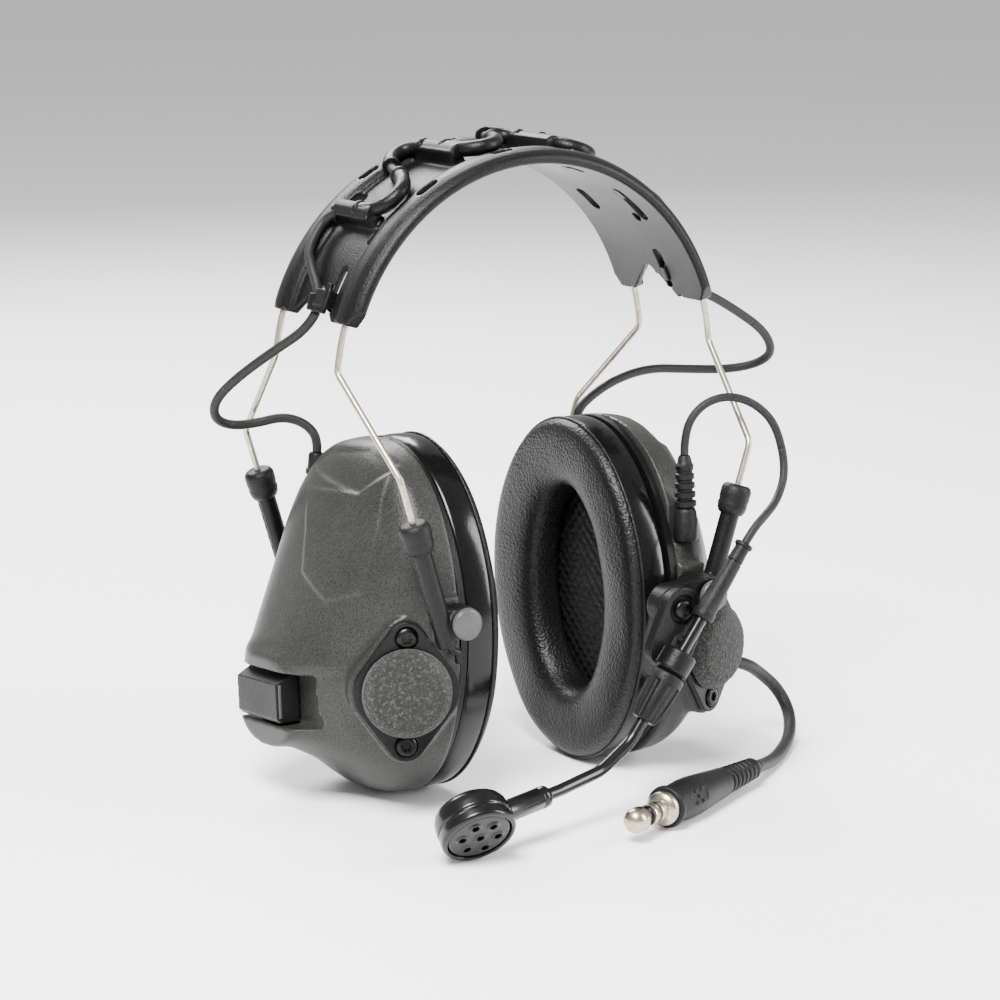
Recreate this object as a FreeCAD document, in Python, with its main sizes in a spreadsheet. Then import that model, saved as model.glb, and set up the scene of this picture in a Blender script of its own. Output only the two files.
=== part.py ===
import FreeCAD, Part
import math
import os
import re
from FreeCAD import Placement, Rotation, Vector

# Communications headset with an over-head band, two ear cups, a boom microphone and a
# down-lead that ends in a plug.  Millimetres.  +Z is up, +X towards the wearer's left ear,
# -Y is the way the wearer faces.  The origin is the middle of the wearer's head, half way
# between the two ear cushions.  The headset stands on a level surface at z = -surface_drop.

DIMENSIONS = {
    # ear cushion and the parts behind it
    "surface_drop": 52.5,
    "cup_shift": 1.0,
    "cup_tilt": 5.0,
    "cushion_face": 22.5,
    "cushion_depth": 12.8,
    "cushion_half_width": 40.1,
    "cushion_half_height": 52.0,
    "cushion_round": 5.0,
    "opening_half_width": 18.4,
    "opening_half_height": 30.5,
    "ring_face": 35.5,
    "ring_depth": 2.0,
    "liner_depth": 1.8,
    "driver_radius": 18.0,
    # ear cup shell
    "shell_face": 37.8,
    "shell_half_width": 41.2,
    "shell_half_height": 52.3,
    "shell_wall": 2.2,
    "recess_head": -15.0,
    "door_width": 24.0,
    "door_pin_radius": 0.8,
    # ambient microphones
    "plate_half_width": 15.3,
    "plate_half_height": 20.3,
    "plate_thickness": 1.8,
    "windscreen_radius": 12.9,
    "windscreen_depth": 3.2,
    "plate_screw_radius": 2.9,
    # head band and wires
    "arch_height": 69.8,
    "band_radius": 61.5,
    "band_half_width": 24.0,
    "band_end_angle": 73.0,
    "web_thickness": 2.2,
    "rail_width": 10.0,
    "rail_height": 4.4,
    "wire_radius": 0.95,
    "wire_arch_radius": 64.0,
    "wire_offset": 18.1,
    "wire_exit_angle": 81.0,
    "play": 0.04,
    "cable_radius": 67.4,
    "cable_sleeve_radius": 2.3,
    "clip_radius": 3.0,
    # sliding arms
    "arm_lean": 17.5,
    "arm_offset": 45.6,
    "arm_radius": 2.85,
    "arm_length": 40.0,
    "wire_insertion": 31.0,
    "collar_radius": 4.5,
    "collar_length": 9.0,
    "pivot_out": 40.0,
    "pivot_up": 7.0,
    "eye_radius": 4.8,
    "pivot_pin_radius": 2.0,
    "button_radius": 4.6,
    # boom microphone
    "boom_plane": 62.0,
    "boom_pin_radius": 1.5,
    "tube_radius": 1.75,
    "sleeve_radius": 2.5,
    "clamp_radius": 4.9,
    "spigot_radius": 3.4,
    "knob_radius": 5.1,
    "knob_length": 15.4,
    "capsule_radius": 10.8,
    "capsule_depth": 10.4,
    # cables and plug
    "link_radius": 1.4,
    "mic_lead_radius": 1.25,
    "downlead_radius": 1.95,
    "plug_contact_radius": 3.55,
    "plug_contact_length": 2.4,
}

doc = FreeCAD.newDocument("headset")
sheet = doc.addObject("Spreadsheet::Sheet", "Sizes")
for row, (alias, value) in enumerate(DIMENSIONS.items(), start=1):
    sheet.set(f"A{row}", alias)
    sheet.set(f"B{row}", str(value))
    sheet.setAlias(f"B{row}", alias)
doc.recompute()

X, Y, Z = Vector(1, 0, 0), Vector(0, 1, 0), Vector(0, 0, 1)
NODES = {}


def size(alias):
    """One driving dimension, read from the sheet."""
    return float(sheet.get(alias))


def bind(obj, **sizes):
    """Ties each named property to an expression on the sheet's aliases."""
    for prop, expression in sizes.items():
        obj.setExpression(prop, re.sub(r"[a-z][a-z_]+", r"Sizes.\g<0>", expression))
    return obj


def add(kind, place=None, **sizes):
    """A document object of one kind, with its sizes bound to the sheet."""
    obj = bind(doc.addObject(kind, kind.split("::")[-1]), **sizes)
    if place is not None:
        obj.Placement = place
    return obj


def at(point, direction=Z, roll=0.0):
    """A placement that carries the local Z axis onto a direction, at a point."""
    turn = Rotation(Z, Vector(direction))
    return Placement(Vector(point), turn * Rotation(Z, roll))


def rod(point, direction, radius, height):
    """A cylinder from a point along a direction; radius and height are expressions."""
    return add("Part::Cylinder", at(point, direction), Radius=radius, Height=height)


def block(low, high):
    """A box between two corners."""
    low, high = Vector(low), Vector(high)
    obj = add("Part::Box", Placement(low, Rotation()))
    obj.Length, obj.Width, obj.Height = high - low
    return obj


def join(*parts):
    obj = add("Part::MultiFuse")
    obj.Shapes = list(parts)
    obj.Refine = True
    return obj


def cut(base, *tools):
    for tool in tools:
        cutter = add("Part::Cut")
        cutter.Base, cutter.Tool = base, tool
        base = cutter
    return base


def common(base, tool):
    obj = add("Part::Common")
    obj.Base, obj.Tool = base, tool
    return obj


def solid(shape, place=None):
    """A feature for a shape that no primitive or sketch gives, such as a bent tube."""
    obj = add("Part::Feature")
    obj.Shape = shape
    if place is not None:
        obj.Placement = place
    return obj


def mirrored(source, normal=X):
    obj = add("Part::Mirroring")
    obj.Source, obj.Normal = source, normal
    return obj


def group(*parts):
    """Several separate solids kept in one node."""
    obj = add("Part::Compound")
    obj.Links = list(parts)
    return obj


def node(name, obj):
    """Names an object as one sub-part of the headset."""
    obj.Label = name
    NODES[name] = obj
    return obj


def both_sides(name, left):
    """The wearer's left piece and its mirror image on the right."""
    node("left_" + name, left)
    node("right_" + name, mirrored(left))
    return left


# ---- sketches and bodies --------------------------------------------------------------


def sketch_outline(body, plane, points):
    """A closed outline of straight lines on one of a body's own origin planes."""
    sketch = body.newObject("Sketcher::SketchObject", "Outline")
    support = [f for f in body.Origin.OriginFeatures if f.Role == plane][0]
    sketch.AttachmentSupport = (support, "")
    sketch.MapMode = "FlatFace"
    corners = [Vector(a, b, 0) for a, b in points]
    for start, end in zip(corners, corners[1:] + corners[:1]):
        sketch.addGeometry(Part.LineSegment(start, end), False)
    return sketch


def revolved(points, place):
    """A body turned about its own Z axis from an outline of (radius, height) points."""
    body = add("PartDesign::Body")
    sketch = sketch_outline(body, "XZ_Plane", points)
    turn = body.newObject("PartDesign::Revolution", "Turn")
    turn.Profile = sketch
    turn.ReferenceAxis = (sketch, ["V_Axis"])
    turn.Angle = 360
    body.Placement = place
    return body


def padded(points, length, place, plane="XY_Plane", fillet=0.0):
    """A body pushed out from an outline; length is an expression."""
    body = add("PartDesign::Body")
    sketch = sketch_outline(body, plane, points)
    pad = body.newObject("PartDesign::Pad", "Push")
    pad.Profile = sketch
    bind(pad, Length=length)
    if fillet:
        doc.recompute()
        edges = [f"Edge{i}" for i, e in enumerate(pad.Shape.Edges, start=1) if is_rim(e, pad.Shape)]
        rounding = body.newObject("PartDesign::Fillet", "Rounding")
        rounding.Base = (pad, edges)
        rounding.Radius = fillet
    body.Placement = place
    return body


def is_rim(edge, shape):
    """True for an edge that lies in the far end face of a pushed-out body."""
    top = shape.BoundBox.ZMax
    return all(abs(v.Z - top) < 1e-6 for v in edge.Vertexes)


# ---- bent tubes ----------------------------------------------------------------------


def unit(vector):
    vector = Vector(vector)
    return vector / vector.Length


def rounded_route(points, radii):
    """Straight runs joined by tangent arcs; radii has one value for each inner point."""
    edges = []
    start = points[0]
    for before, corner, after, radius in zip(points, points[1:], points[2:], radii):
        back, ahead = unit(before - corner), unit(after - corner)
        half = back.getAngle(ahead) / 2
        reach = radius / math.tan(half)
        first, last = corner + back * reach, corner + ahead * reach
        inner = unit(back + ahead)
        middle = corner + inner * (radius / math.sin(half) - radius)
        if (first - start).Length > 1e-6:
            edges.append(Part.LineSegment(start, first).toShape())
        edges.append(Part.Arc(first, middle, last).toShape())
        start = last
    edges.append(Part.LineSegment(start, points[-1]).toShape())
    return edges


def cord_radii(points):
    """Arcs as large as the two runs at each point allow."""
    radii = []
    for before, corner, after in zip(points, points[1:], points[2:]):
        turn = (corner - before).getAngle(after - corner)
        shorter = min((corner - before).Length, (after - corner).Length)
        radii.append(0.45 * shorter / math.tan(turn / 2))
    return radii


def swept(edges, radius, bore=0.0):
    """A round tube along edges that are tangent to each other."""
    path = Part.Wire(edges)
    first = edges[0]
    start = first.valueAt(first.FirstParameter)
    heading = first.tangentAt(first.FirstParameter)

    def skin(tube_radius):
        ring = Part.Wire(Part.Circle(start, heading, tube_radius).toShape())
        return path.makePipeShell([ring], True, False)

    tube = skin(radius)
    if bore:
        tube = tube.cut(skin(bore))
    return tube


def cord(name, points, radius):
    """A free cable along hand-chosen points, with its radii and length printed."""
    points = [Vector(p) for p in points]
    radii = cord_radii(points)
    edges = rounded_route(points, radii)
    tube = swept(edges, radius)
    length = sum(edge.Length for edge in edges)
    ideal = math.pi * radius**2 * length
    text = ", ".join(f"{value:.0f}" for value in radii)
    print(f"{name}: length {length:.1f} mm, radii {text}, volume ratio {tube.Volume / ideal:.4f}")
    return node(name, solid(tube))


# ---- places shared by several pieces --------------------------------------------------

TILT = Rotation(X, -size("cup_tilt"))
CUP = Placement(Vector(0, -size("cup_shift"), 0), TILT)
LEAN = math.radians(size("arm_lean"))
ARM_WAY = Vector(-math.sin(LEAN), 0, -math.cos(LEAN))
COLLAR_TOP = Vector(55.6, 0, 36.7)
WIRE_ELBOW = COLLAR_TOP - ARM_WAY * 13.0
PIVOT = Vector(size("pivot_out"), 0, size("pivot_up"))
PLATE_TURN = 22.0
PLATE_WAY = Vector(math.sin(math.radians(PLATE_TURN)), -math.cos(math.radians(PLATE_TURN)), 0)
PLATE_FACE = Vector(52.4, -36.6, -13.5)
BOOM_WAY = unit(Vector(-0.590, 0, -0.808))


def cup_point(out, along, up):
    """A point given in the ear cup's own tilted frame."""
    return CUP.multVec(Vector(out, along, up))


# ---- ear cups ---------------------------------------------------------------------------


def oval_prism(face, depth, half_width, half_height):
    """An elliptical plate square to X, in the cup's own frame; all four are expressions."""
    across = Rotation(Y, -90)
    ring = add("Part::Ellipse", Placement(Vector(), across))
    bind(ring, MinorRadius=half_width, MajorRadius=half_height)
    plate = add("Part::Extrusion")
    plate.Base, plate.Dir, plate.DirMode, plate.Solid = ring, X, "Custom", True
    bind(plate, LengthFwd=depth)
    bind(plate, **{"Placement.Base.x": face})
    return plate


def tilted(obj):
    """The object carried from the cup's own frame to its tilted place."""
    carrier = add("Part::Compound", CUP)
    carrier.Links = [obj]
    return carrier


def ear_cushion():
    outer = oval_prism("cushion_face", "cushion_depth", "cushion_half_width", "cushion_half_height")
    doc.recompute()
    rounding = add("Part::Fillet")
    rounding.Base = outer
    face = size("cushion_face")
    rims = [i for i, e in enumerate(outer.Shape.Edges, 1) if abs(e.CenterOfMass.x - face) < 0.01]
    rounding.Edges = [(i, size("cushion_round"), size("cushion_round")) for i in rims]
    hole = oval_prism(
        "cushion_face - cushion_depth", "3 * cushion_depth", "opening_half_width", "opening_half_height"
    )
    both_sides("ear_cushion", tilted(cut(rounding, hole)))


def baffle():
    """The plate the cushion snaps on, with the seat of the driver behind it."""
    plate = oval_prism("ring_face", "ring_depth", "shell_half_width - 0.3", "shell_half_height - 0.2")
    hole = oval_prism(
        "ring_face - ring_depth", "3 * ring_depth", "shell_half_width - 9", "shell_half_height - 9"
    )
    back = oval_prism("ring_face + 1.9", "2.5", "shell_half_width - 4.2", "shell_half_height - 4.6")
    seat = rod((size("ring_face") + 1, 0, 0), X, "driver_radius - 2", "6")
    both_sides("baffle", tilted(cut(join(cut(plate, hole), back), seat)))


def foam_liner():
    pad = oval_prism("ring_face", "liner_depth", "shell_half_width - 9.4", "shell_half_height - 9.4")
    both_sides("foam_liner", tilted(pad))


def oval_wire(out, middle, up, half_width, half_height):
    """A closed rounded outline square to X; a power of 2.3 squares it a little."""
    points = []
    for step in range(24):
        turn = 2 * math.pi * step / 24
        side, rise = math.cos(turn), math.sin(turn)
        along = half_width * math.copysign(abs(side) ** (2 / 2.3), side)
        points.append(Vector(out, middle + along, up + half_height * math.copysign(abs(rise) ** (2 / 2.3), rise)))
    curve = Part.BSplineCurve()
    curve.interpolate(points, PeriodicFlag=True)
    return Part.Wire(curve.toShape())


def cup_form(inset):
    """The outer form of a cup, or the form of its hollow when inset is the wall."""
    half_width, half_height = size("shell_half_width"), size("shell_half_height")
    face = size("shell_face")
    stations = [
        (face, 0.0, 0.0, half_width, half_height),
        (face + 9.5, 0.0, 0.0, half_width - 1.4, half_height - 1.0),
        (face + 15.5, 1.2, -2.6, half_width - 5.2, half_height - 8.0),
        (face + 21.5, 2.5, -6.4, half_width - 11.2, half_height - 17.3),
        (face + 31.5, 7.0, -16.6, half_width - 19.7, half_height - 33.0),
        (face + 37.4, 9.0, -24.2, half_width - 25.2, half_height - 41.0),
    ]
    wires = []
    for number, (out, middle, up, wide, high) in enumerate(stations):
        end = inset if number == len(stations) - 1 else 0
        start = 1.0 if inset and number == 0 else 0
        wires.append(oval_wire(out - end - start, middle, up, wide - inset, high - inset))
    return Part.makeLoft(wires, True, True)


def plate_outline(extra):
    """A diamond with cut corners, seen along the plate's own axis."""
    wide, high = size("plate_half_width") + extra, size("plate_half_height") + extra
    return [
        (-wide, -4.5),
        (-4.5, -high),
        (4.5, -high),
        (wide, -4.5),
        (wide, 4.5),
        (4.5, high),
        (-4.5, high),
        (-wide, 4.5),
    ]


def plate_place(step):
    """The ambient microphone plate's place, a step along its axis from its back."""
    turn = Rotation(Z, PLATE_TURN) * Rotation(X, 90)
    return Placement(PLATE_FACE + PLATE_WAY * step, turn)


def in_cup(obj):
    """The object carried into the cup's tilted frame by its own placement."""
    obj.Placement = CUP * obj.Placement
    return obj


def cup_shell():
    """The outer shell without the fittings that only the left cup has."""
    form = solid(cup_form(0), CUP)
    housing = cut(form, solid(cup_form(size("shell_wall")), CUP))
    recess = in_cup(block((67.5, -15.0, -28.7), (90, 28.5, size("recess_head"))))
    back_wall = common(solid(cup_form(0.5), CUP), in_cup(block((65.4, -30, -40), (69.0, 40, -12.2))))
    lip_space = block((67.9, -30, size("recess_head")), (90, 40, size("recess_head") + 1.8))
    lip = common(solid(cup_form(0), CUP), in_cup(lip_space))
    sill = common(solid(cup_form(0), CUP), in_cup(block((67.9, -30, -30.5), (90, 40, -28.7))))
    seat = cut(padded(plate_outline(-0.6), "4 * plate_thickness", plate_place(-7.2)), inboard_of_shell())
    shell = cut(join(housing, back_wall, lip, sill), recess)
    shell = join(shell, seat, pivot_boss(-1), pivot_boss(1))
    shell = cut(shell, rod(PLATE_FACE - PLATE_WAY * 12, PLATE_WAY, "5.2", "20"))
    for way in (-1, 1):
        shell = cut(shell, rod(Vector(PIVOT.x, way * 37.5, PIVOT.z), Y * way, "pivot_pin_radius", "20"))
    for y in (DOOR_START - 3.0, DOOR_START + size("door_width") + 0.4):
        ear = block((DOOR_OUT - 3.4, y, DOOR_UP - 1.7), (DOOR_OUT + 1.6, y + 2.6, size("recess_head") + 1.0))
        shell = join(shell, in_cup(ear))
    axle_start = cup_point(DOOR_OUT, DOOR_START - 1, DOOR_UP)
    shell = join(shell, rod(axle_start, TILT.multVec(Y), "door_pin_radius", "door_width + 2"))
    relief_notch = in_cup(block((43.6, 22.6, 33.0), (50, 30.4, 60)))
    plate_pocket = padded(plate_outline(0.15), "8 * plate_thickness", plate_place(0))
    behind = oval_prism("ring_face + 1.9", "2.6", "shell_half_width - 4.1", "shell_half_height - 4.5")
    return cut(shell, relief_notch, below_surface(), plate_pocket, tilted(behind), strain_relief())


def inboard_of_shell():
    """Everything nearer the head than the shell's own edge."""
    face = size("shell_face")
    return block((face - 30, -200, -200), (face, 200, 200))


def pivot_boss(way):
    """The flat boss behind one pivot eye."""
    near, far = sorted((way * 36.0, way * 42.3))
    return block((PIVOT.x - 2.2, near, PIVOT.z - 6.5), (PIVOT.x + 7, far, PIVOT.z + 6.5))


def below_surface():
    """Everything under the surface the headset stands on."""
    drop = size("surface_drop")
    return block((-200, -200, -drop - 40), (200, 200, -drop))


DOOR_OUT, DOOR_UP, DOOR_START = 70.6, -17.0, -0.5


def battery_door():
    """The rubber-faced door under the shell's lip, seen along its axle."""
    profile = [
        (DOOR_OUT - 1.4, DOOR_UP + 1.1),
        (DOOR_OUT + 1.2, DOOR_UP + 1.1),
        (75.9, -21.5),
        (75.9, -25.8),
        (74.6, -28.0),
        (68.0, -28.0),
        (68.0, -19.5),
    ]
    place = Placement(Vector(0, DOOR_START + size("door_width"), 0), Rotation())
    body = in_cup(padded(profile, "door_width", place, "XZ_Plane"))
    hole_start = cup_point(DOOR_OUT, -20, DOOR_UP)
    return cut(body, rod(hole_start, TILT.multVec(Y), "door_pin_radius + play", "60"))


def ear_cup_parts():
    ear_cushion()
    baffle()
    foam_liner()
    both_sides("battery_door", battery_door())


def ambient_microphone():
    plate = padded(plate_outline(0), "plate_thickness", plate_place(0), fillet=0.6)
    screw_places = [plate_place(0).multVec(Vector(0, up, 0)) for up in (-16.4, 16.4)]
    holes = [rod(p - PLATE_WAY * 1, PLATE_WAY, "1.3", "9") for p in screw_places]
    centre = rod(PLATE_FACE - PLATE_WAY, PLATE_WAY, "4.0", "6")
    both_sides("mic_plate", cut(plate, centre, *holes))
    thickness = size("plate_thickness")
    disc = rod(PLATE_FACE + PLATE_WAY * thickness, PLATE_WAY, "windscreen_radius", "windscreen_depth")
    doc.recompute()
    rounding = add("Part::Fillet")
    rounding.Base = disc
    outer = [i for i, e in enumerate(disc.Shape.Edges, 1) if is_outer_rim(e, thickness)]
    rounding.Edges = [(i, 1.6, 1.6) for i in outer]
    both_sides("foam_windscreen", rounding)
    screws = []
    for place in screw_places:
        head = rod(place + PLATE_WAY * thickness, PLATE_WAY, "plate_screw_radius", "1.2")
        shank = rod(place, PLATE_WAY, "1.25", "plate_thickness")
        socket = rod(place + PLATE_WAY * (thickness + 0.4), PLATE_WAY, "1.3", "2")
        screws.append(cut(join(head, shank), socket))
    both_sides("plate_screws", group(*screws))
    both_sides("mic_element", rod(PLATE_FACE - PLATE_WAY * 4.2, PLATE_WAY, "3.0", "5.2"))


def is_outer_rim(edge, thickness):
    """True for the circle at the windscreen's free end."""
    reach = (edge.CenterOfMass - PLATE_FACE).dot(PLATE_WAY)
    return edge.Closed and reach > thickness + 1.0


def inner_parts():
    """What the cup holds: driver, circuit board and cell."""
    magnet = rod((size("shell_face") + 2.4, 0, 0), X, "driver_radius", "3.2")
    yoke = rod((size("shell_face") + 5.4, 0, 0), X, "0.6 * driver_radius", "2.6")
    both_sides("driver", tilted(join(magnet, yoke)))
    both_sides("circuit_board", tilted(block((46.3, -22, -14), (47.9, 14, 38))))
    both_sides("battery_cell", tilted(rod((57.4, 8, -30.5), Z, "5.2", "43.5")))


# ---- arms, pivots and wires ---------------------------------------------------------------


def sliding_arm(way):
    """One arm: a bored stem with an eye for the pivot, and a stub below it."""
    top = Vector(COLLAR_TOP.x, way * size("arm_offset"), COLLAR_TOP.z)
    stem = rod(top + ARM_WAY * 5, ARM_WAY, "arm_radius", "arm_length - 5")
    neck = rod(top + ARM_WAY * 1.2, ARM_WAY, "arm_radius - 0.7", "4.2")
    eye_start = Vector(PIVOT.x, way * 42.9, PIVOT.z)
    eye = rod(eye_start, Y * way, "eye_radius", "5.5")
    peg_start = top + ARM_WAY * (size("arm_length") - 2) + Vector(-3.4, 0, 1)
    peg = rod(peg_start, ARM_WAY, "1.1", "5")
    web_low = Vector(PIVOT.x + 1.5, way * 45.6 - 1.6, PIVOT.z - 4.2)
    web = block(web_low, web_low + Vector(3.6, 3.2, 6.5))
    arm = join(stem, neck, eye, web, peg)
    bore = rod(top, ARM_WAY, "wire_radius + play", "arm_length - 1.2")
    pin_hole = rod(eye_start - Y * way, Y * way, "pivot_pin_radius + play", "9")
    return cut(arm, bore, pin_hole)


def arm_collar(way):
    """The rubber sleeve where the wire enters the arm."""
    wide, tall = size("collar_radius"), size("collar_length")
    inner = size("wire_radius") + size("play")
    grip = size("arm_radius") - 0.7
    outline = [
        (inner, 0),
        (wide - 0.8, 0),
        (wide, 0.9),
        (wide, tall - 3.4),
        (wide - 1.0, tall),
        (size("arm_radius") + 0.05, tall),
        (size("arm_radius") + 0.05, 5.0),
        (grip, 5.0),
        (grip, 1.2),
        (inner, 1.2),
    ]
    top = Vector(COLLAR_TOP.x, way * size("arm_offset"), COLLAR_TOP.z)
    return revolved(outline, at(top, ARM_WAY))


def pivot_button(way, reach):
    """A pivot pin with its round cap; reach is how far the cap stands from the eye."""
    start = Vector(PIVOT.x, way * 37.5, PIVOT.z)
    pin = rod(start, Y * way, "pivot_pin_radius", str(11.1 + reach))
    cap = rod(start + Y * way * (11.1 + reach), Y * way, "button_radius", "1.9")
    return join(pin, cap)


def spring_wire(way):
    """A continuous spring wire: arch through the band, two elbows and two straight ends."""
    centre = Vector(0, way * size("wire_offset"), size("arch_height"))
    radius = size("wire_arch_radius")
    exit_turn = math.radians(size("wire_exit_angle"))
    leave = centre + Vector(math.sin(exit_turn), 0, math.cos(exit_turn)) * radius
    heading = Vector(math.cos(exit_turn), 0, -math.sin(exit_turn))
    shoulder = leave + heading * 4.5
    elbow = Vector(WIRE_ELBOW.x, way * size("arm_offset"), WIRE_ELBOW.z)
    tip = elbow + ARM_WAY * (13.0 + size("wire_insertion"))
    leg = rounded_route([leave, shoulder, elbow, tip], [3.5, 4.5])
    arc = Part.Arc(mirror_x(leave), centre + Z * radius, leave).toShape()
    other = rounded_route([mirror_x(p) for p in (tip, elbow, shoulder, leave)], [4.5, 3.5])
    return solid(swept(other + [arc] + leg, size("wire_radius")))


def mirror_x(point):
    return Vector(-point.x, point.y, point.z)


def arms_and_wires():
    both_sides("arms", group(sliding_arm(-1), sliding_arm(1)))
    both_sides("arm_collars", group(arm_collar(-1), arm_collar(1)))
    node("spring_wires", group(spring_wire(-1), spring_wire(1)))
    node("right_pivot_pins", mirrored(group(pivot_button(-1, 0.0), pivot_button(1, 0.0))))
    node("left_pivot_pins", group(pivot_button(-1, 6.6), pivot_button(1, 0.0)))


# ---- head band ------------------------------------------------------------------------------


def arch_point(turn, radius, along=0.0):
    """A point on the arch, turn degrees from the crown towards +X."""
    turn = math.radians(turn)
    return Vector(radius * math.sin(turn), along, size("arch_height") + radius * math.cos(turn))



def band_profile():
    """Half arch section: (radius, along) points of the web and its two raised rails."""
    inner = size("band_radius")
    wide, rail = size("band_half_width"), size("rail_width")
    web, tall = inner + size("web_thickness"), inner + size("rail_height")
    points = [(inner, -wide + 0.8), (inner + 0.8, -wide), (tall - 2.2, -wide), (tall - 0.6, -wide + 1.4)]
    points += [(tall, -wide + 3.4), (tall, -wide + rail - 3.4), (tall - 0.7, -wide + rail - 1.4), (web, -wide + rail)]
    return points + [(radius, -along) for radius, along in reversed(points)]


def head_band():
    """The arch with its rails, slots, end notches, wire tunnels and cable tabs."""
    body = add("PartDesign::Body")
    outline = sketch_outline(body, "XZ_Plane", band_profile())
    sweep = body.newObject("PartDesign::Revolution", "Arch")
    sweep.Profile = outline
    sweep.ReferenceAxis = (outline, ["V_Axis"])
    sweep.Midplane = True
    bind(sweep, Angle="2 * band_end_angle")
    body.Placement = Placement(Vector(0, 0, size("arch_height")), Rotation(Z, X, Y, "XYZ"))
    tabs = [arch_block(turn, 2.0, 6.4, 24.4, 1.5, 3.0) for turn in CABLE_TABS]
    band = join(body, *tabs)
    cutters = []
    for side in (-1, 1):
        for turn, along, span, width in BAND_SLOTS:
            cutters.append(arch_block(side * turn, along, span, width, -6, 12))
        cutters.append(end_notch(side))
    for turn, way in WIRE_WINDOWS:
        cutters.append(arch_block(turn, way * size("wire_offset"), 5.5, 2.6, 2.4, 8))
    for way in (-1, 1):
        tunnel = add("Part::Torus", at((0, way * size("wire_offset"), size("arch_height")), Y))
        bind(tunnel, Radius1="wire_arch_radius", Radius2="wire_radius + play")
        cutters.append(tunnel)
    for sleeve in SLEEVES:
        cutters.append(solid(cable_sleeve(sleeve, 0.12)))
    for start, end in CLIP_ENDS.values():
        way = unit(end - start)
        cutters.append(rod(start - way, way, "clip_radius + play", str((end - start).Length + 2)))
    return cut(band, *cutters)


def arch_block(turn, along, span, width, low, tall):
    """A block square to the arch, from a height above its inner face."""
    box = block((-span / 2, -width / 2, low), (span / 2, width / 2, low + tall))
    place = Placement(arch_point(turn, size("band_radius"), along), Rotation(Y, turn))
    box.Placement = place * box.Placement
    return box


# (degrees from the crown, place along Y, length round the arch, width) on each side
BAND_SLOTS = [(64.5, -6.0, 14.0, 3.2), (39.5, -11.8, 16.0, 3.6), (40.5, 11.8, 10.0, 4.0), (19.0, -11.0, 6.0, 3.0)]
# (degrees from the crown, front or rear) of the windows that show the wires
WIRE_WINDOWS = [(-32, -1), (-9, -1), (9, -1), (32, -1), (-30, 1), (-6, 1), (20, 1)]
# degrees from the crown of the tabs the cable crosses
CABLE_TABS = [-44.5, -16.5, 11.5, 39.5]


def end_notch(side):
    """The V between the two lobes at one end of the band."""
    wedge = padded([(-22, 8), (0, -9.5), (22, 8)], "30", Placement(Vector(0, 0, -15), Rotation()))
    turn = side * size("band_end_angle")
    place = Placement(arch_point(turn, size("band_radius"), 2.5), Rotation(Y, turn) * Rotation(Z, -90 * side))
    wedge.Placement = place * wedge.Placement
    return wedge


# corners of the cable's winding way over the band: degrees from the crown, place along Y
BAND_WAY = [(-56.5, 12.8), (-44.8, 14.0)]
for loop in range(4):
    BAND_WAY += [(28 * loop - 43.2, -11.5), (28 * loop - 33.0, -12.0)]
    if loop < 3:
        BAND_WAY += [(28 * loop - 26.5, 14.5), (28 * loop - 16.0, 16.0)]
BAND_CABLE = [arch_point(-71.5, 62.6, 2.2), arch_point(-66.5, 63.2, 2.4), arch_point(-61.2, 66.2, 7.0)]
BAND_CABLE += [arch_point(turn, size("cable_radius"), along) for turn, along in BAND_WAY]
BAND_CABLE += [arch_point(57.8, 67.3, 1.6), arch_point(63.6, 66.9, 2.5), arch_point(68.5, 66.5, 2.4)]
CLIP_ENDS = {"right": (BAND_CABLE[0], BAND_CABLE[1]), "left": (BAND_CABLE[-1], BAND_CABLE[-2])}
# (index of a loop's first corner, how far the sleeve reaches along its two straights)
FRONT_SLEEVES = [(5 + 4 * loop, 0.6) for loop in range(4)]
REAR_SLEEVES = [(7 + 4 * loop, 0.24) for loop in range(3)]
SLEEVES = FRONT_SLEEVES + REAR_SLEEVES


def cable_sleeve(sleeve, extra=0.0):
    """The thick sleeve over one loop; extra widens it and leaves out its bore."""
    first, reach = sleeve
    before, one, two, after = BAND_CABLE[first - 1 : first + 3]
    points = [one + (before - one) * reach, one, two, two + (after - two) * reach]
    radii = cord_radii(BAND_CABLE)[first - 1 : first + 1]
    edges = rounded_route(points, radii)
    if extra:
        return swept(edges, size("cable_sleeve_radius") + extra)
    return swept(edges, size("cable_sleeve_radius"), size("link_radius") + size("play"))


def cable_clip(side):
    """The ring that holds the cable at one end of the band, with its hook in the slot."""
    start, end = CLIP_ENDS[side]
    way = unit(end - start)
    reach = (end - start).Length
    turn = -67.6 if side == "right" else 66.0
    ring = rod(start + way * 0.3, way, "clip_radius", str(reach - 0.6))
    arm = arch_block(turn, -3.2, 3.4, 8.6, size("web_thickness") + 0.1, 1.5)
    hook = arch_block(turn, -6.1, 3.4, 2.6, -0.8, size("web_thickness") + 2.4)
    bore = rod(start - way, way, "link_radius + play", str(reach + 2))
    return cut(join(ring, arm, hook), bore)


def band_parts():
    node("head_band", head_band())
    node("cable_sleeves", group(*[solid(cable_sleeve(sleeve)) for sleeve in SLEEVES]))
    node("cable_clips", group(cable_clip("right"), cable_clip("left")))
    cord("band_cable", BAND_CABLE, size("link_radius"))


# ---- boom microphone --------------------------------------------------------------------


def on_boom(step):
    """A point on the straight part of the boom, a step from its cable end."""
    return Vector(46.3, -size("boom_plane"), 23.0) + BOOM_WAY * step


BOOM_PIN = Vector(27.2, 0, 4.9)


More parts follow.
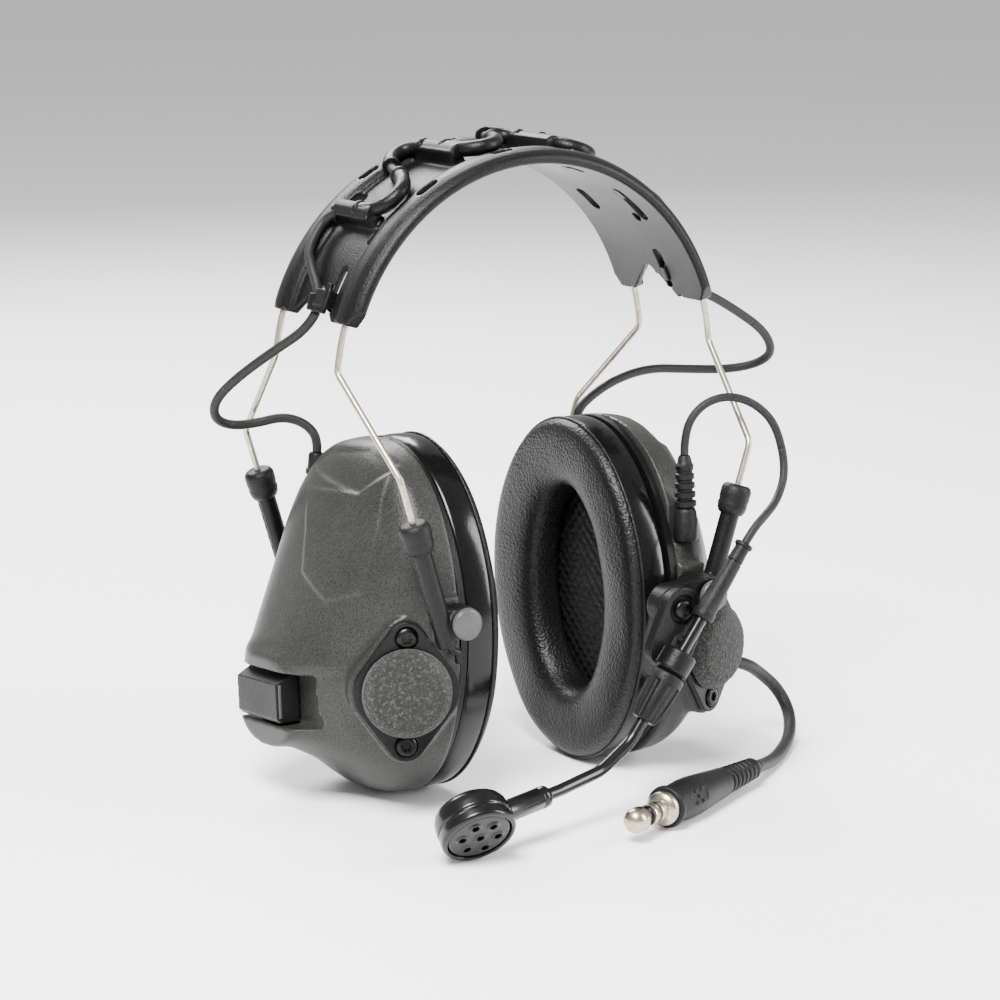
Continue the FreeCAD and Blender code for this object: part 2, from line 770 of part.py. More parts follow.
def boom_bracket():
    """The lever from the cup's front pivot to the pin of the fork."""
    disc = rod((PIVOT.x, -49.0, PIVOT.z), -Y, "5.6", "5.9")
    end = rod((BOOM_PIN.x, -49.0, BOOM_PIN.z), -Y, "6.2", "5.9")
    bar = block((BOOM_PIN.x, -54.9, 0.4), (PIVOT.x, -49.0, 11.0))
    pin_hole = rod((BOOM_PIN.x, -48, BOOM_PIN.z), -Y, "boom_pin_radius", "9")
    hole = rod((PIVOT.x, -48, PIVOT.z), -Y, "pivot_pin_radius + play", "9")
    return cut(join(disc, end, bar), hole, pin_hole)


def boom_fork():
    """The loop that carries the clamp, with its pin and the ring and spigot of the clamp."""
    head = rod((BOOM_PIN.x, -55.2, BOOM_PIN.z), -Y, "6.5", "3.6")
    outline = [(33.6, 6.0), (20.9, 6.6), (17.1, -9.3), (24.6, -14.7), (29.5, -7.5)]
    plate = padded(outline, "3.6", Placement(Vector(0, -55.2, 0), Rotation()), "XZ_Plane")
    ring = rod(on_boom(36.6), BOOM_WAY, "clamp_radius", "7.0")
    spigot = rod(on_boom(43.6), BOOM_WAY, "spigot_radius", "11")
    fork = join(head, plate, ring, spigot)
    bore = rod(on_boom(30), BOOM_WAY, "tube_radius + play", "30")
    pin = rod((BOOM_PIN.x, -50.2, BOOM_PIN.z), -Y, "boom_pin_radius", "9.6")
    pin_head = rod((BOOM_PIN.x, -58.8, BOOM_PIN.z), -Y, "2.3", "1.0")
    return join(cut(fork, bore), pin, pin_head)


def clamp_knob():
    """The fluted nut that squeezes the spigot on the boom."""
    wide, long = size("knob_radius"), size("knob_length")
    bore, neck = size("spigot_radius") + size("play"), size("tube_radius") + 0.3
    outline = [
        (bore, 0),
        (wide - 0.5, 0),
        (wide, 0.6),
        (wide, 2.4),
        (wide - 0.3, 6.0),
        (3.6, long),
        (neck, long),
        (neck, 11.6),
        (bore, 11.6),
    ]
    knob = revolved(outline, at(on_boom(44.0), BOOM_WAY))
    flutes = []
    for step in range(6):
        turn = Rotation(BOOM_WAY, 60 * step + 20)
        side = turn.multVec(-Y)
        start = on_boom(47.0) + side * (wide + 0.35)
        flutes.append(rod(start, unit(BOOM_WAY - side * 0.12), "0.95", "9.5"))
    return cut(knob, *flutes)


BOOM_BEND = [
    on_boom(66.5),
    Vector(-4.4, -64.0, -37.2),
    Vector(-20.5, -68.0, -39.2),
    Vector(-43.0, -74.0, -40.6),
]
HEAD_WAY = unit(Vector(-0.10, -0.80, -0.59))
HEAD = Vector(-54.5, -76.6, -41.0)


def boom_parts():
    node("boom_bracket", boom_bracket())
    node("boom_fork", boom_fork())
    node("clamp_knob", clamp_knob())
    points = [on_boom(2.5)] + BOOM_BEND
    tube = solid(swept(rounded_route(points, [12, 14, 30]), size("tube_radius")))
    node("boom_tube", tube)
    grip = cut(rod(on_boom(6.4), BOOM_WAY, "sleeve_radius", "19"), rod(on_boom(0), BOOM_WAY, "tube_radius", "40"))
    collar = rod(on_boom(0), BOOM_WAY, "3.2", "6.0")
    lead_hole = rod(on_boom(-1), BOOM_WAY, "mic_lead_radius", "3.3")
    node("boom_collar", cut(collar, rod(on_boom(2.3), BOOM_WAY, "tube_radius + play", "9"), lead_hole))
    neck_way = unit(BOOM_BEND[3] - BOOM_BEND[2])
    neck = rod(BOOM_BEND[3] - neck_way * 17, neck_way, "3.2", "17")
    node("boom_sleeves", group(grip, cut(neck, rod(BOOM_BEND[2], neck_way, "tube_radius", "40"))))
    microphone_head(neck_way)


def microphone_head(neck_way):
    back = HEAD - HEAD_WAY * (size("capsule_depth") / 2)
    wide, depth = size("capsule_radius"), size("capsule_depth")
    outline = [
        (0, 0),
        (wide - 2.6, 0),
        (wide - 0.8, 0.9),
        (wide, 2.8),
        (wide, depth - 0.6),
        (wide - 1.6, depth - 0.6),
        (wide - 1.6, 2.4),
        (0, 2.4),
    ]
    shell = revolved(outline, at(back, HEAD_WAY))
    socket = rod(BOOM_BEND[3], neck_way, "3.2", "5.5")
    hollow = rod(back + HEAD_WAY * 2.4, HEAD_WAY, "capsule_radius - 1.6", "20")
    node("mic_housing", cut(join(shell, cut(socket, hollow)), rod(BOOM_BEND[3] - neck_way, neck_way, "tube_radius", "1")))
    face = rod(back + HEAD_WAY * (depth - 1.8), HEAD_WAY, "capsule_radius - 1.65", "1.8")
    holes = [rod(back, HEAD_WAY, "0.9", "20")]
    side = unit(HEAD_WAY.cross(Z))
    for step in range(6):
        spoke = Rotation(HEAD_WAY, 60 * step).multVec(side) * 5.2
        holes.append(rod(back + spoke, HEAD_WAY, "0.9", "20"))
    node("mic_grille", cut(face, *holes))
    node("boom_mic_element", rod(back + HEAD_WAY * 2.5, HEAD_WAY, "4.8", "5.0"))


# ---- cables -----------------------------------------------------------------------------

RELIEF_FOOT = Vector(47.2, 26.0, 30.5)
RELIEF_TOP = Vector(46.1, 26.0, 44.2)
RELIEF_WAY = unit(RELIEF_TOP - RELIEF_FOOT)
BOOT_FOOT = Vector(41.8, -39.2, 20.2)
BOOT_TOP = Vector(41.2, -38.4, 45.6)
BOOT_WAY = unit(BOOT_TOP - BOOT_FOOT)

RIGHT_LINK = [
    BAND_CABLE[0],
    Vector(-60.9, 4.2, 84.9),
    Vector(-67.2, 13.4, 77.6),
    Vector(-73.2, 24.4, 68.9),
    Vector(-76.9, 31.4, 61.6),
    Vector(-75.2, 35.4, 55.6),
    Vector(-69.0, 37.6, 52.4),
    Vector(-61.0, 36.4, 52.6),
    Vector(-53.6, 33.0, 54.6),
    Vector(-48.0, 29.4, 52.6),
    mirror_x(RELIEF_TOP + RELIEF_WAY * 4.2),
    mirror_x(RELIEF_TOP),
]
LEFT_LINK = [
    BAND_CABLE[-1],
    Vector(63.7, 2.7, 89.8),
    Vector(77.5, 3.8, 86.9),
    Vector(92.5, 6.8, 79.6),
    Vector(106.4, 10.0, 71.6),
    Vector(112.8, 13.8, 63.8),
    Vector(111.4, 20.6, 59.2),
    Vector(103.0, 26.0, 57.4),
    Vector(90.0, 28.6, 58.2),
    Vector(76.0, 29.4, 59.5),
    Vector(63.0, 28.4, 57.4),
    Vector(52.5, 27.4, 53.0),
    RELIEF_TOP + RELIEF_WAY * 4.2,
    RELIEF_TOP,
]
MIC_LEAD = [
    BOOT_TOP,
    Vector(41.1, -38.4, 50.5),
    Vector(42.8, -39.0, 56.8),
    Vector(47.8, -40.2, 61.4),
    Vector(55.0, -42.4, 62.8),
    Vector(62.6, -44.8, 59.8),
    Vector(68.4, -47.0, 53.2),
    Vector(69.6, -50.4, 40.4),
    Vector(63.5, -54.5, 32.8),
    Vector(54.8, -60.4, 30.2),
    Vector(49.24, -62.0, 27.04),
    Vector(46.3, -62.0, 23.0) + unit(Vector(-0.590, 0, -0.808)) * 2.3,
]
PLUG_TIP = Vector(-9.3, -86.0, -45.9)
PLUG_WAY = unit(Vector(65.7, 29.8, -1.2))
GLAND_FOOT = Vector(63.0, -19.4, -23.0)
GLAND_END = Vector(74.5, -18.0, -25.2)
GLAND_WAY = unit(GLAND_END - GLAND_FOOT)
DOWNLEAD = [
    PLUG_TIP + PLUG_WAY * 72,
    Vector(67.0, -48.6, -49.6),
    Vector(79.0, -39.2, -50.3),
    Vector(92.0, -27.0, -49.6),
    Vector(99.6, -16.6, -45.4),
    Vector(99.0, -10.8, -39.0),
    Vector(91.6, -11.6, -33.0),
    Vector(82.4, -16.4, -27.6),
    GLAND_END,
]


def split_cord(names, points, run, radius):
    """One cable as two nodes that meet face to face half way along one straight run."""
    points = [Vector(p) for p in points]
    middle = (points[run] + points[run + 1]) / 2
    cord(names[0], points[: run + 1] + [middle], radius)
    cord(names[1], [middle] + points[run + 1 :], radius)


def strain_relief():
    """The stepped rubber tube on the rear of a cup that the band cable enters."""
    step = RELIEF_WAY * 3.6
    relief = rod(RELIEF_FOOT, RELIEF_WAY, "2.5", str((RELIEF_TOP - RELIEF_FOOT).Length))
    collars = [rod(RELIEF_FOOT + step * count, RELIEF_WAY, "2.95", "1.8") for count in (0, 1, 2)]
    return join(relief, *collars)


def mic_connector():
    """The small ribbed plug of the microphone lead on the left cup."""
    barrel = rod(BOOT_FOOT, BOOT_WAY, "2.9", "9")
    boot = rod(BOOT_FOOT + BOOT_WAY * 9, BOOT_WAY, "2.1", str((BOOT_TOP - BOOT_FOOT).Length - 9))
    ribs = [rod(BOOT_FOOT + BOOT_WAY * (10.6 + 2.6 * count), BOOT_WAY, "2.6", "1.3") for count in range(5)]
    return join(barrel, boot, *ribs)


def plug_parts():
    """The plug on the down-lead: contacts, the insulators between them, and the body."""
    place = at(PLUG_TIP, PLUG_WAY)
    wide, long = size("plug_contact_radius"), size("plug_contact_length")
    land = 3.2
    tip = [(0, 0), (1.9, 0.5), (3.1, 1.6), (wide, land), (wide, land + long), (2.6, land + long + 1.0)]
    tip += [(2.2, land + long + 1.6), (2.2, 8.4), (0, 8.4)]
    contacts = [revolved(tip, place)]
    rings = []
    for start in (8.5, 12.2):
        rings.append(revolved([(0, start), (3.0, start), (3.0, start + 1.1), (0, start + 1.1)], place))
    node("plug_insulators", group(*rings))
    contacts.append(revolved([(0, 9.7), (3.0, 9.7), (3.0, 12.1), (0, 12.1)], place))
    base = [(0, 13.4), (3.0, 13.4), (3.0, 16.4), (4.3, 16.4), (4.95, 17.4), (4.95, 18.9), (0, 18.9)]
    contacts.append(revolved(base, place))
    node("plug_contacts", group(*contacts))
    body = [(0, 19.0), (5.5, 19.0), (6.1, 19.6), (6.1, 21.2), (5.2, 21.4), (5.7, 25), (5.85, 30), (5.5, 37)]
    body += [(4.9, 44), (4.3, 52), (3.0, 52.4)]
    for count in range(7):
        start, rib = 53.0 + 2.6 * count, 4.1 - 0.13 * count
        body += [(2.9, start), (rib, start + 0.1), (rib, start + 1.6), (2.9, start + 1.7)]
    body += [(2.6, 72), (0, 72)]
    node("plug_body", revolved(body, place))


def cable_parts():
    relief = strain_relief()
    both_sides("cable_relief", relief)
    split_cord(("right_link_upper", "right_link_lower"), RIGHT_LINK, 3, size("link_radius"))
    split_cord(("left_link_upper", "left_link_lower"), LEFT_LINK, 3, size("link_radius"))
    split_cord(("mic_lead_upper", "mic_lead_lower"), MIC_LEAD, 6, size("mic_lead_radius"))
    node("mic_connector", mic_connector())
    cord("downlead", DOWNLEAD, size("downlead_radius"))
    node("downlead_gland", rod(GLAND_FOOT, GLAND_WAY, "3.3", str((GLAND_END - GLAND_FOOT).Length)))
    plug_parts()


def shells():
    """The two base shells; the left one also takes the gland and the microphone plug."""
    base = cup_shell()
    node("right_base_shell", mirrored(base))
    gland_hole = rod(GLAND_FOOT - GLAND_WAY * 2, GLAND_WAY, "3.3", "30")
    plug_notch = block((inner_edge(), -60, 19.6), (47.4, -35.2, 60))
    left = join(base, rod(GLAND_FOOT + GLAND_WAY * 0.2, GLAND_WAY, "4.8", "4.6"))
    node("left_base_shell", cut(left, gland_hole, plug_notch))


def inner_edge():
    return size("shell_face") - 1


def check_and_write():
    """Stops on any broken object, then writes one file for each node."""
    doc.recompute()
    for obj in doc.Objects:
        if "Invalid" in obj.State or "Error" in obj.State:
            raise RuntimeError(f"{obj.Name} ({obj.Label}) did not build: {obj.State}")
    os.makedirs("parts", exist_ok=True)
    for name, obj in NODES.items():
        if obj.Shape.isNull() or not obj.Shape.isValid() or not obj.Shape.Solids:
            raise RuntimeError(f"{name} is not a valid solid")
        obj.Shape.exportStep(f"parts/{name}.step")
    print(len(NODES), "nodes written")


shells()
ear_cup_parts()
ambient_microphone()
inner_parts()
arms_and_wires()
band_parts()
boom_parts()
cable_parts()
check_and_write()
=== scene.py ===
from math import copysign, cos, hypot, pi, radians, sin, tan

import bmesh
import bpy
import numpy as np
from mathutils import Matrix, Quaternion, Vector, noise


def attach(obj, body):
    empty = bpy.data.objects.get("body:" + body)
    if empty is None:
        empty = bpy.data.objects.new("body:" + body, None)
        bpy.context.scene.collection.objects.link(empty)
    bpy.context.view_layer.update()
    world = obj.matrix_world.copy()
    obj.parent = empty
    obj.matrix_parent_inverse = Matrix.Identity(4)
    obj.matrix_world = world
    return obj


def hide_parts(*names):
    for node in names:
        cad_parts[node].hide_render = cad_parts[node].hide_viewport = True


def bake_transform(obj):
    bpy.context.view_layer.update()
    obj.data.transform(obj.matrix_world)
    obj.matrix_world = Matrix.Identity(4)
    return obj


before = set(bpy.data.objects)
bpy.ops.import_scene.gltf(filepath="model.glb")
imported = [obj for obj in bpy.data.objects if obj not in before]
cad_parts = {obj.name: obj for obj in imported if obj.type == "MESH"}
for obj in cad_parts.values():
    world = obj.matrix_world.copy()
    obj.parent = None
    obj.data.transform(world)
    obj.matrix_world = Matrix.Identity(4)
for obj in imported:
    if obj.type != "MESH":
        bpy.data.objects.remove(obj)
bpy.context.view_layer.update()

# Lengths below are millimetres in the headset's own frame: +Z up, +X towards the wearer's
# left ear, -Y the way the wearer faces, origin in the middle of the wearer's head.
MM = 0.001
FLOOR = -52.5
X, Y, Z = Vector((1, 0, 0)), Vector((0, 1, 0)), Vector((0, 0, 1))


def linked(name, data):
    """A new object in the scene."""
    obj = bpy.data.objects.new(name, data)
    bpy.context.scene.collection.objects.link(obj)
    return obj


# ---- camera, stage and light


def make_camera():
    data = bpy.data.cameras.new("camera")
    data.lens = 110.3
    data.sensor_width = 36
    camera = linked("camera", data)
    azimuth, elevation, roll = (radians(a) for a in (-32.33, 11.39, 0.43))
    level = cos(elevation)
    back = Vector((sin(azimuth) * level, -cos(azimuth) * level, sin(elevation)))
    turn = (-back).to_track_quat("-Z", "Y") @ Quaternion(Z, roll)
    camera.matrix_world = Matrix.Translation(Vector((-476.7, -755.8, 209.7)) * MM) @ turn.to_matrix().to_4x4()
    bpy.context.scene.camera = camera


def make_stage():
    bpy.ops.mesh.primitive_plane_add(size=8, location=(0, 0, (FLOOR - 0.15) * MM))
    floor = bpy.context.object
    floor.name = "floor"
    paper = bpy.data.materials.new("paper")
    paper.use_nodes = True
    shader = paper.node_tree.nodes["Principled BSDF"]
    shader.inputs["Base Color"].default_value = (0.98, 0.98, 0.98, 1)
    shader.inputs["Roughness"].default_value = 0.9
    floor.data.materials.append(paper)
    world = bpy.data.worlds.new("world")
    bpy.context.scene.world = world
    world.use_nodes = True
    world.node_tree.nodes["Background"].inputs["Color"].default_value = (1.0, 1.0, 1.0, 1)
    world.node_tree.nodes["Background"].inputs["Strength"].default_value = 0.62


def area_light(name, place, target, wide, power):
    data = bpy.data.lights.new(name, "AREA")
    data.shape = "RECTANGLE"
    data.size, data.size_y = wide
    data.energy = power
    lamp = linked(name, data)
    lamp.location = Vector(place)
    lamp.rotation_euler = (Vector(target) - lamp.location).to_track_quat("-Z", "Y").to_euler()


make_camera()
make_stage()
area_light("key", (-0.55, -0.45, 0.95), (0, 0, 0.03), (0.5, 0.5), 52)
area_light("side", (0.9, -0.7, 0.45), (0, 0, 0.0), (0.3, 0.8), 20)
area_light("back", (0.1, 0.9, 0.8), (0, 0, 0.05), (0.9, 0.4), 28)

# ---- finishes


class Finish:
    """A material under construction; its textures follow places on the object."""

    def __init__(self, name):
        self.material = bpy.data.materials.new(name)
        self.material.use_nodes = True
        self.nodes, self.wire = self.material.node_tree.nodes, self.material.node_tree.links.new
        self.sockets = self.nodes["Principled BSDF"].inputs
        self.places = self.nodes.new("ShaderNodeTexCoord").outputs["Object"]
        self.normal = None

    def add(self, kind, values):
        node = self.nodes.new("ShaderNode" + kind)
        for socket, value in values.items():
            node.inputs[socket].default_value = value
        return node

    def noise(self, scale, detail, rough=0.55):
        cloud = self.add("TexNoise", {"Scale": scale, "Detail": detail, "Roughness": rough})
        self.wire(self.places, cloud.inputs["Vector"])
        return cloud.outputs["Fac"]

    def cells(self, scale, feature="F1"):
        cells = self.add("TexVoronoi", {"Scale": scale})
        cells.feature = feature
        self.wire(self.places, cells.inputs["Vector"])
        return cells.outputs["Distance"]

    def ramp(self, source, stops, target):
        """Colours along the source's value, wired to a socket."""
        ramp = self.add("ValToRGB", {})
        points = ramp.color_ramp.elements
        while len(points) < len(stops):
            points.new(0.5)
        for point, (place, colour) in zip(points, stops):
            point.position = place
            point.color = (*colour, 1)
        self.wire(source, ramp.inputs["Fac"])
        self.wire(ramp.outputs["Color"], self.sockets[target] if isinstance(target, str) else target)

    def bump(self, height, strength, distance):
        """Relief on top of the relief that is there already."""
        bump = self.add("Bump", {"Strength": strength, "Distance": distance})
        self.wire(height, bump.inputs["Height"])
        if self.normal is not None:
            self.wire(self.normal, bump.inputs["Normal"])
        self.normal = bump.outputs["Normal"]
        self.wire(self.normal, self.sockets["Normal"])

    def done(self, values):
        for socket, value in values.items():
            self.sockets[socket].default_value = value
        return self.material


def shade(colour, factor):
    return tuple(min(1.0, c * factor) for c in colour)


def grained(name, colour, rough, grain=2200.0, contrast=0.35, bump=0.25, depth=0.0001, metal=0.0, coat=0.0):
    """A moulded or coated finish: fine grain, broad handling marks and a slight unevenness."""
    finish = Finish(name)
    fine, broad = finish.noise(grain, 2.0), finish.noise(38.0, 5.0)
    mix = finish.add("Mix", {0: 1.0})
    mix.data_type, mix.blend_type = "RGBA", "MULTIPLY"
    tints = [(0.32, shade(colour, 1 - contrast)), (0.68, shade(colour, 1 + contrast))]
    finish.ramp(fine, tints, mix.inputs[6])
    finish.ramp(broad, [(0.35, (0.86,) * 3), (0.7, (1.08,) * 3)], mix.inputs[7])
    finish.wire(mix.outputs[2], finish.sockets["Base Color"])
    finish.ramp(broad, [(0.3, (rough * 0.85,) * 3), (0.75, (rough * 1.15,) * 3)], "Roughness")
    finish.bump(fine, bump, depth)
    surface = {"Metallic": metal, "Specular IOR Level": 0.16, "Coat Weight": coat, "Coat Roughness": 0.3}
    return finish.done(surface)


def vinyl(name, pebble, rough):
    """Soft black vinyl with a pebbled grain."""
    finish = Finish(name)
    cells = finish.cells(1350, "SMOOTH_F1")
    finish.bump(finish.noise(130.0, 4.0), 0.12, 0.0006)
    finish.bump(cells, pebble, 0.0003)
    finish.ramp(cells, [(0.1, (0.004, 0.004, 0.0042)), (0.75, (0.0015, 0.0015, 0.0016))], "Base Color")
    return finish.done({"Roughness": rough, "Specular IOR Level": 0.22})


def foam():
    """Open-cell foam with pale flecks."""
    finish = Finish("foam")
    flecks = finish.noise(1050.0, 4.0, 0.75)
    stops = [(0.38, (0.003, 0.003, 0.0025)), (0.53, (0.009, 0.009, 0.008)), (0.68, (0.06, 0.06, 0.053))]
    finish.ramp(flecks, stops, "Base Color")
    finish.bump(finish.cells(1500), 0.8, 0.0005)
    finish.bump(flecks, 0.7, 0.0004)
    return finish.done({"Roughness": 0.95, "Sheen Weight": 0.08})


def worn_metal(name, colour, rough, scratch=0.15):
    """Plated or bare metal with fine scratches and tarnish."""
    finish = Finish(name)
    tarnish = finish.noise(420.0, 6.0, 0.65)
    finish.ramp(tarnish, [(0.3, shade(colour, 0.62)), (0.62, colour)], "Base Color")
    finish.ramp(tarnish, [(0.3, (min(1, rough * 1.9),) * 3), (0.7, (rough,) * 3)], "Roughness")
    finish.bump(finish.noise(2600.0, 2.0), scratch, 0.00006)
    return finish.done({"Metallic": 1.0})


# material slot, colour, roughness, grain, contrast, bump, bump depth, metal, coat
GRAINED = {
    "shell": ("shell_paint", (0.027, 0.0275, 0.0255), 0.36, 1900, 0.4, 0.5, 0.0002, 0.3),
    "band": ("black_plastic", (0.0035, 0.0036, 0.0035), 0.38, 2100, 0.6, 0.7, 0.0002),
    "plastic": ("black_plastic", (0.0035, 0.0036, 0.0035), 0.36, 1900, 0.4, 0.6, 0.00022),
    "rubber": ("latch_rubber", (0.005, 0.0051, 0.005), 0.45, 1900, 0.4, 0.6, 0.00025),
    "button": ("grey_plastic", (0.065, 0.067, 0.065), 0.33, 2600, 0.15, 0.15, 0.00008, 0.2),
    "jacket": ("cable_jacket", (0.013, 0.0135, 0.013), 0.5, 1500, 0.3, 0.5, 0.0002),
    "gloss": ("boom_gloss", (0.003, 0.003, 0.003), 0.13, 1200, 0.2, 0.03, 0.00005, 0.0, 0.3),
    "inner": ("electronics", (0.02, 0.021, 0.02), 0.6),
}
FINISHES = {name: (grained(name, *settings), slot) for name, (slot, *settings) in GRAINED.items()}
FINISHES |= {
    "screw": (worn_metal("screw", (0.02, 0.02, 0.021), 0.25), "dark_metal"),
    "steel": (worn_metal("steel", (0.5, 0.45, 0.36), 0.27), "spring_steel"),
    "nickel": (worn_metal("nickel", (0.5, 0.44, 0.34), 0.2, 0.3), "plug_metal"),
    "cell": (worn_metal("cell", (0.6, 0.6, 0.6), 0.3), "cell_metal"),
    "vinyl": (vinyl("vinyl", 0.7, 0.42), "cushion_vinyl"),
    "gloss_vinyl": (vinyl("gloss_vinyl", 0.03, 0.17), "cushion_vinyl"),
    "lining": (vinyl("lining", 0.7, 0.5), "foam"),
    "foam": (foam(), "foam"),
}

# ---- building shapes
# A part is (points in millimetres, faces).  Several parts make one piece.


def merged(*parts):
    points, faces = [], []
    for part_points, part_faces in parts:
        shift = len(points)
        points += [Vector(p) for p in part_points]
        faces += [[i + shift for i in face] for face in part_faces]
    return points, faces


def moved(part, matrix):
    points, faces = part
    flipped = matrix.to_3x3().determinant() < 0
    faces = [list(reversed(f)) for f in faces] if flipped else faces
    return [matrix @ Vector(p) for p in points], faces


def mirrored(shape):
    """The same shape, points and faces or a mesh, on the other side of the head."""
    flip = Matrix.Diagonal((-1, 1, 1, 1))
    if not isinstance(shape, bpy.types.Mesh):
        return moved(shape, flip)
    other = shape.copy()
    other.transform(flip)
    other.flip_normals()
    return other


def frame_at(origin, axis):
    """A placement whose local Z is the axis."""
    axis = Vector(axis).normalized()
    hint = Z if abs(axis.z) < 0.9 else X
    side = (hint - axis * hint.dot(axis)).normalized()
    return Matrix.Translation(origin) @ Matrix((side, axis.cross(side), axis)).transposed().to_4x4()


def lathe(profile, origin, axis, segments):
    """A solid turned about an axis from (radius, height) points, first and last on the axis or not."""
    points, faces, rings = [], [], []
    for radius, height in profile:
        if radius < 1e-6:
            rings.append([len(points)])
            points.append(Vector((0, 0, height)))
        else:
            rings.append(list(range(len(points), len(points) + segments)))
            for step in range(segments):
                turn = 2 * pi * step / segments
                points.append(Vector((radius * cos(turn), radius * sin(turn), height)))
    for low, high in zip(rings, rings[1:]):
        for step in range(segments):
            after = (step + 1) % segments
            if len(low) == 1 and len(high) == 1:
                continue
            if len(low) == 1:
                faces.append([low[0], high[after], high[step]])
            elif len(high) == 1:
                faces.append([low[step], low[after], high[0]])
            else:
                faces.append([low[step], low[after], high[after], high[step]])
    if len(rings[0]) > 1:
        faces.append(list(reversed(rings[0])))
    if len(rings[-1]) > 1:
        faces.append(list(rings[-1]))
    return moved((points, faces), frame_at(Vector(origin), axis))


def rod(start, end, radius, end_radius=None, segments=40):
    start, end = Vector(start), Vector(end)
    far = radius if end_radius is None else end_radius
    return lathe([(radius, 0), (far, (end - start).length)], start, end - start, segments)


def box(low, high):
    (a, b, c), (d, e, f) = low, high
    corners = ((a, b, c), (d, b, c), (d, e, c), (a, e, c), (a, b, f), (d, b, f), (d, e, f), (a, e, f))
    faces = [[3, 2, 1, 0], [4, 5, 6, 7], [0, 1, 5, 4], [1, 2, 6, 5], [2, 3, 7, 6], [3, 0, 4, 7]]
    return [Vector(p) for p in corners], faces


def prism(outline, low, high, matrix=None):
    """An outline in the local XY plane pushed from low to high along local Z."""
    turned = sum(a[0] * b[1] - a[1] * b[0] for a, b in zip(outline, outline[1:] + outline[:1]))
    outline = outline if turned > 0 else list(reversed(outline))
    count = len(outline)
    points = [Vector((x, y, low)) for x, y in outline] + [Vector((x, y, high)) for x, y in outline]
    faces = [list(reversed(range(count))), list(range(count, 2 * count))]
    faces += [[i, (i + 1) % count, (i + 1) % count + count, i + count] for i in range(count)]
    return (points, faces) if matrix is None else moved((points, faces), matrix)


def on_side(outline, front, back):
    """A plate whose outline lies in XZ, between two places along Y."""
    points, faces = prism(outline, front, back)
    return [Vector((p.x, p.z, p.y)) for p in points], [list(reversed(f)) for f in faces]


def closed_skin(rings):
    """Faces between neighbouring rings of point numbers, and over both ends."""
    faces = []
    for low, high in zip(rings, rings[1:]):
        count = len(low)
        faces += [[low[i], low[(i + 1) % count], high[(i + 1) % count], high[i]] for i in range(count)]
    return faces + [list(reversed(rings[0])), list(rings[-1])]


def hull(circles, steps=72):
    """The outline round a set of circles (x, y, radius)."""
    outline = []
    for step in range(steps):
        turn = 2 * pi * step / steps
        way = Vector((cos(turn), sin(turn)))
        x, y, r = max(circles, key=lambda c: c[0] * way.x + c[1] * way.y + c[2])
        point = (x + way.x * r, y + way.y * r)
        if not outline or (Vector(point) - Vector(outline[-1])).length > 1e-4:
            outline.append(point)
    return outline


def tube(points, radius, segments=28):
    """A closed round tube along close points; radius is a number or a function of 0..1."""
    points = [Vector(p) for p in points]
    reach = [0.0]
    for a, b in zip(points, points[1:]):
        reach.append(reach[-1] + (b - a).length)
    tangent = (points[1] - points[0]).normalized()
    side = (Z if abs(tangent.z) < 0.9 else X).cross(tangent).normalized()
    out, rings = [], []
    for index, point in enumerate(points):
        before, after = points[max(index - 1, 0)], points[min(index + 1, len(points) - 1)]
        tangent = (after - before).normalized()
        side = (side - tangent * side.dot(tangent)).normalized()
        up = tangent.cross(side)
        wide = radius(reach[index] / reach[-1]) if callable(radius) else radius
        rings.append(range(len(out), len(out) + segments))
        for step in range(segments):
            turn = 2 * pi * step / segments
            out.append(point + side * cos(turn) * wide + up * sin(turn) * wide)
    return out, closed_skin(rings)


def nurbs_line(points, resolution=14):
    """Close points along the smooth curve that has these control points."""
    data = bpy.data.curves.new("line", "CURVE")
    data.dimensions = "3D"
    spline = data.splines.new("NURBS")
    spline.points.add(len(points) - 1)
    for point, place in zip(spline.points, points):
        point.co = (*Vector(place), 1)
    spline.order_u = 3
    spline.use_endpoint_u = True
    spline.resolution_u = resolution
    carrier = linked("line", data)
    mesh = bpy.data.meshes.new_from_object(carrier)
    line = [v.co.copy() for v in mesh.vertices]
    bpy.data.objects.remove(carrier)
    bpy.data.curves.remove(data)
    bpy.data.meshes.remove(mesh)
    return line


def rounded_line(points, radii, step=0.6):
    """Close points along straight runs joined by arcs."""
    points = [Vector(p) for p in points]
    line = [points[0]]
    for before, corner, after, radius in zip(points, points[1:], points[2:], radii):
        back, ahead = (before - corner).normalized(), (after - corner).normalized()
        half = back.angle(ahead) / 2
        first, last = corner + back * radius / tan(half), corner + ahead * radius / tan(half)
        centre = corner + (back + ahead).normalized() * radius / sin(half)
        sweep = pi - 2 * half
        count = max(4, int(radius * sweep / step))
        arm, other = first - centre, last - centre
        for index in range(count + 1):
            share = index / count
            spot = arm * sin((1 - share) * sweep) + other * sin(share * sweep)
            line.append(centre + spot / sin(sweep))
    line.append(points[-1])
    return line


def as_mesh(name, part):
    mesh = bpy.data.meshes.new(name)
    points, faces = part
    mesh.from_pydata([tuple(p) for p in points], [], [tuple(f) for f in faces])
    mesh.validate()
    mesh.update()
    return mesh


def applied(mesh, *changes):
    """The mesh after modifiers, each given as (type, settings)."""
    carrier = linked("work", mesh)
    for kind, settings in changes:
        modifier = carrier.modifiers.new(kind, kind)
        for key, value in settings.items():
            setattr(modifier, key, value)
    bpy.context.view_layer.update()
    result = bpy.data.meshes.new_from_object(carrier.evaluated_get(bpy.context.evaluated_depsgraph_get()))
    bpy.data.objects.remove(carrier)
    return result


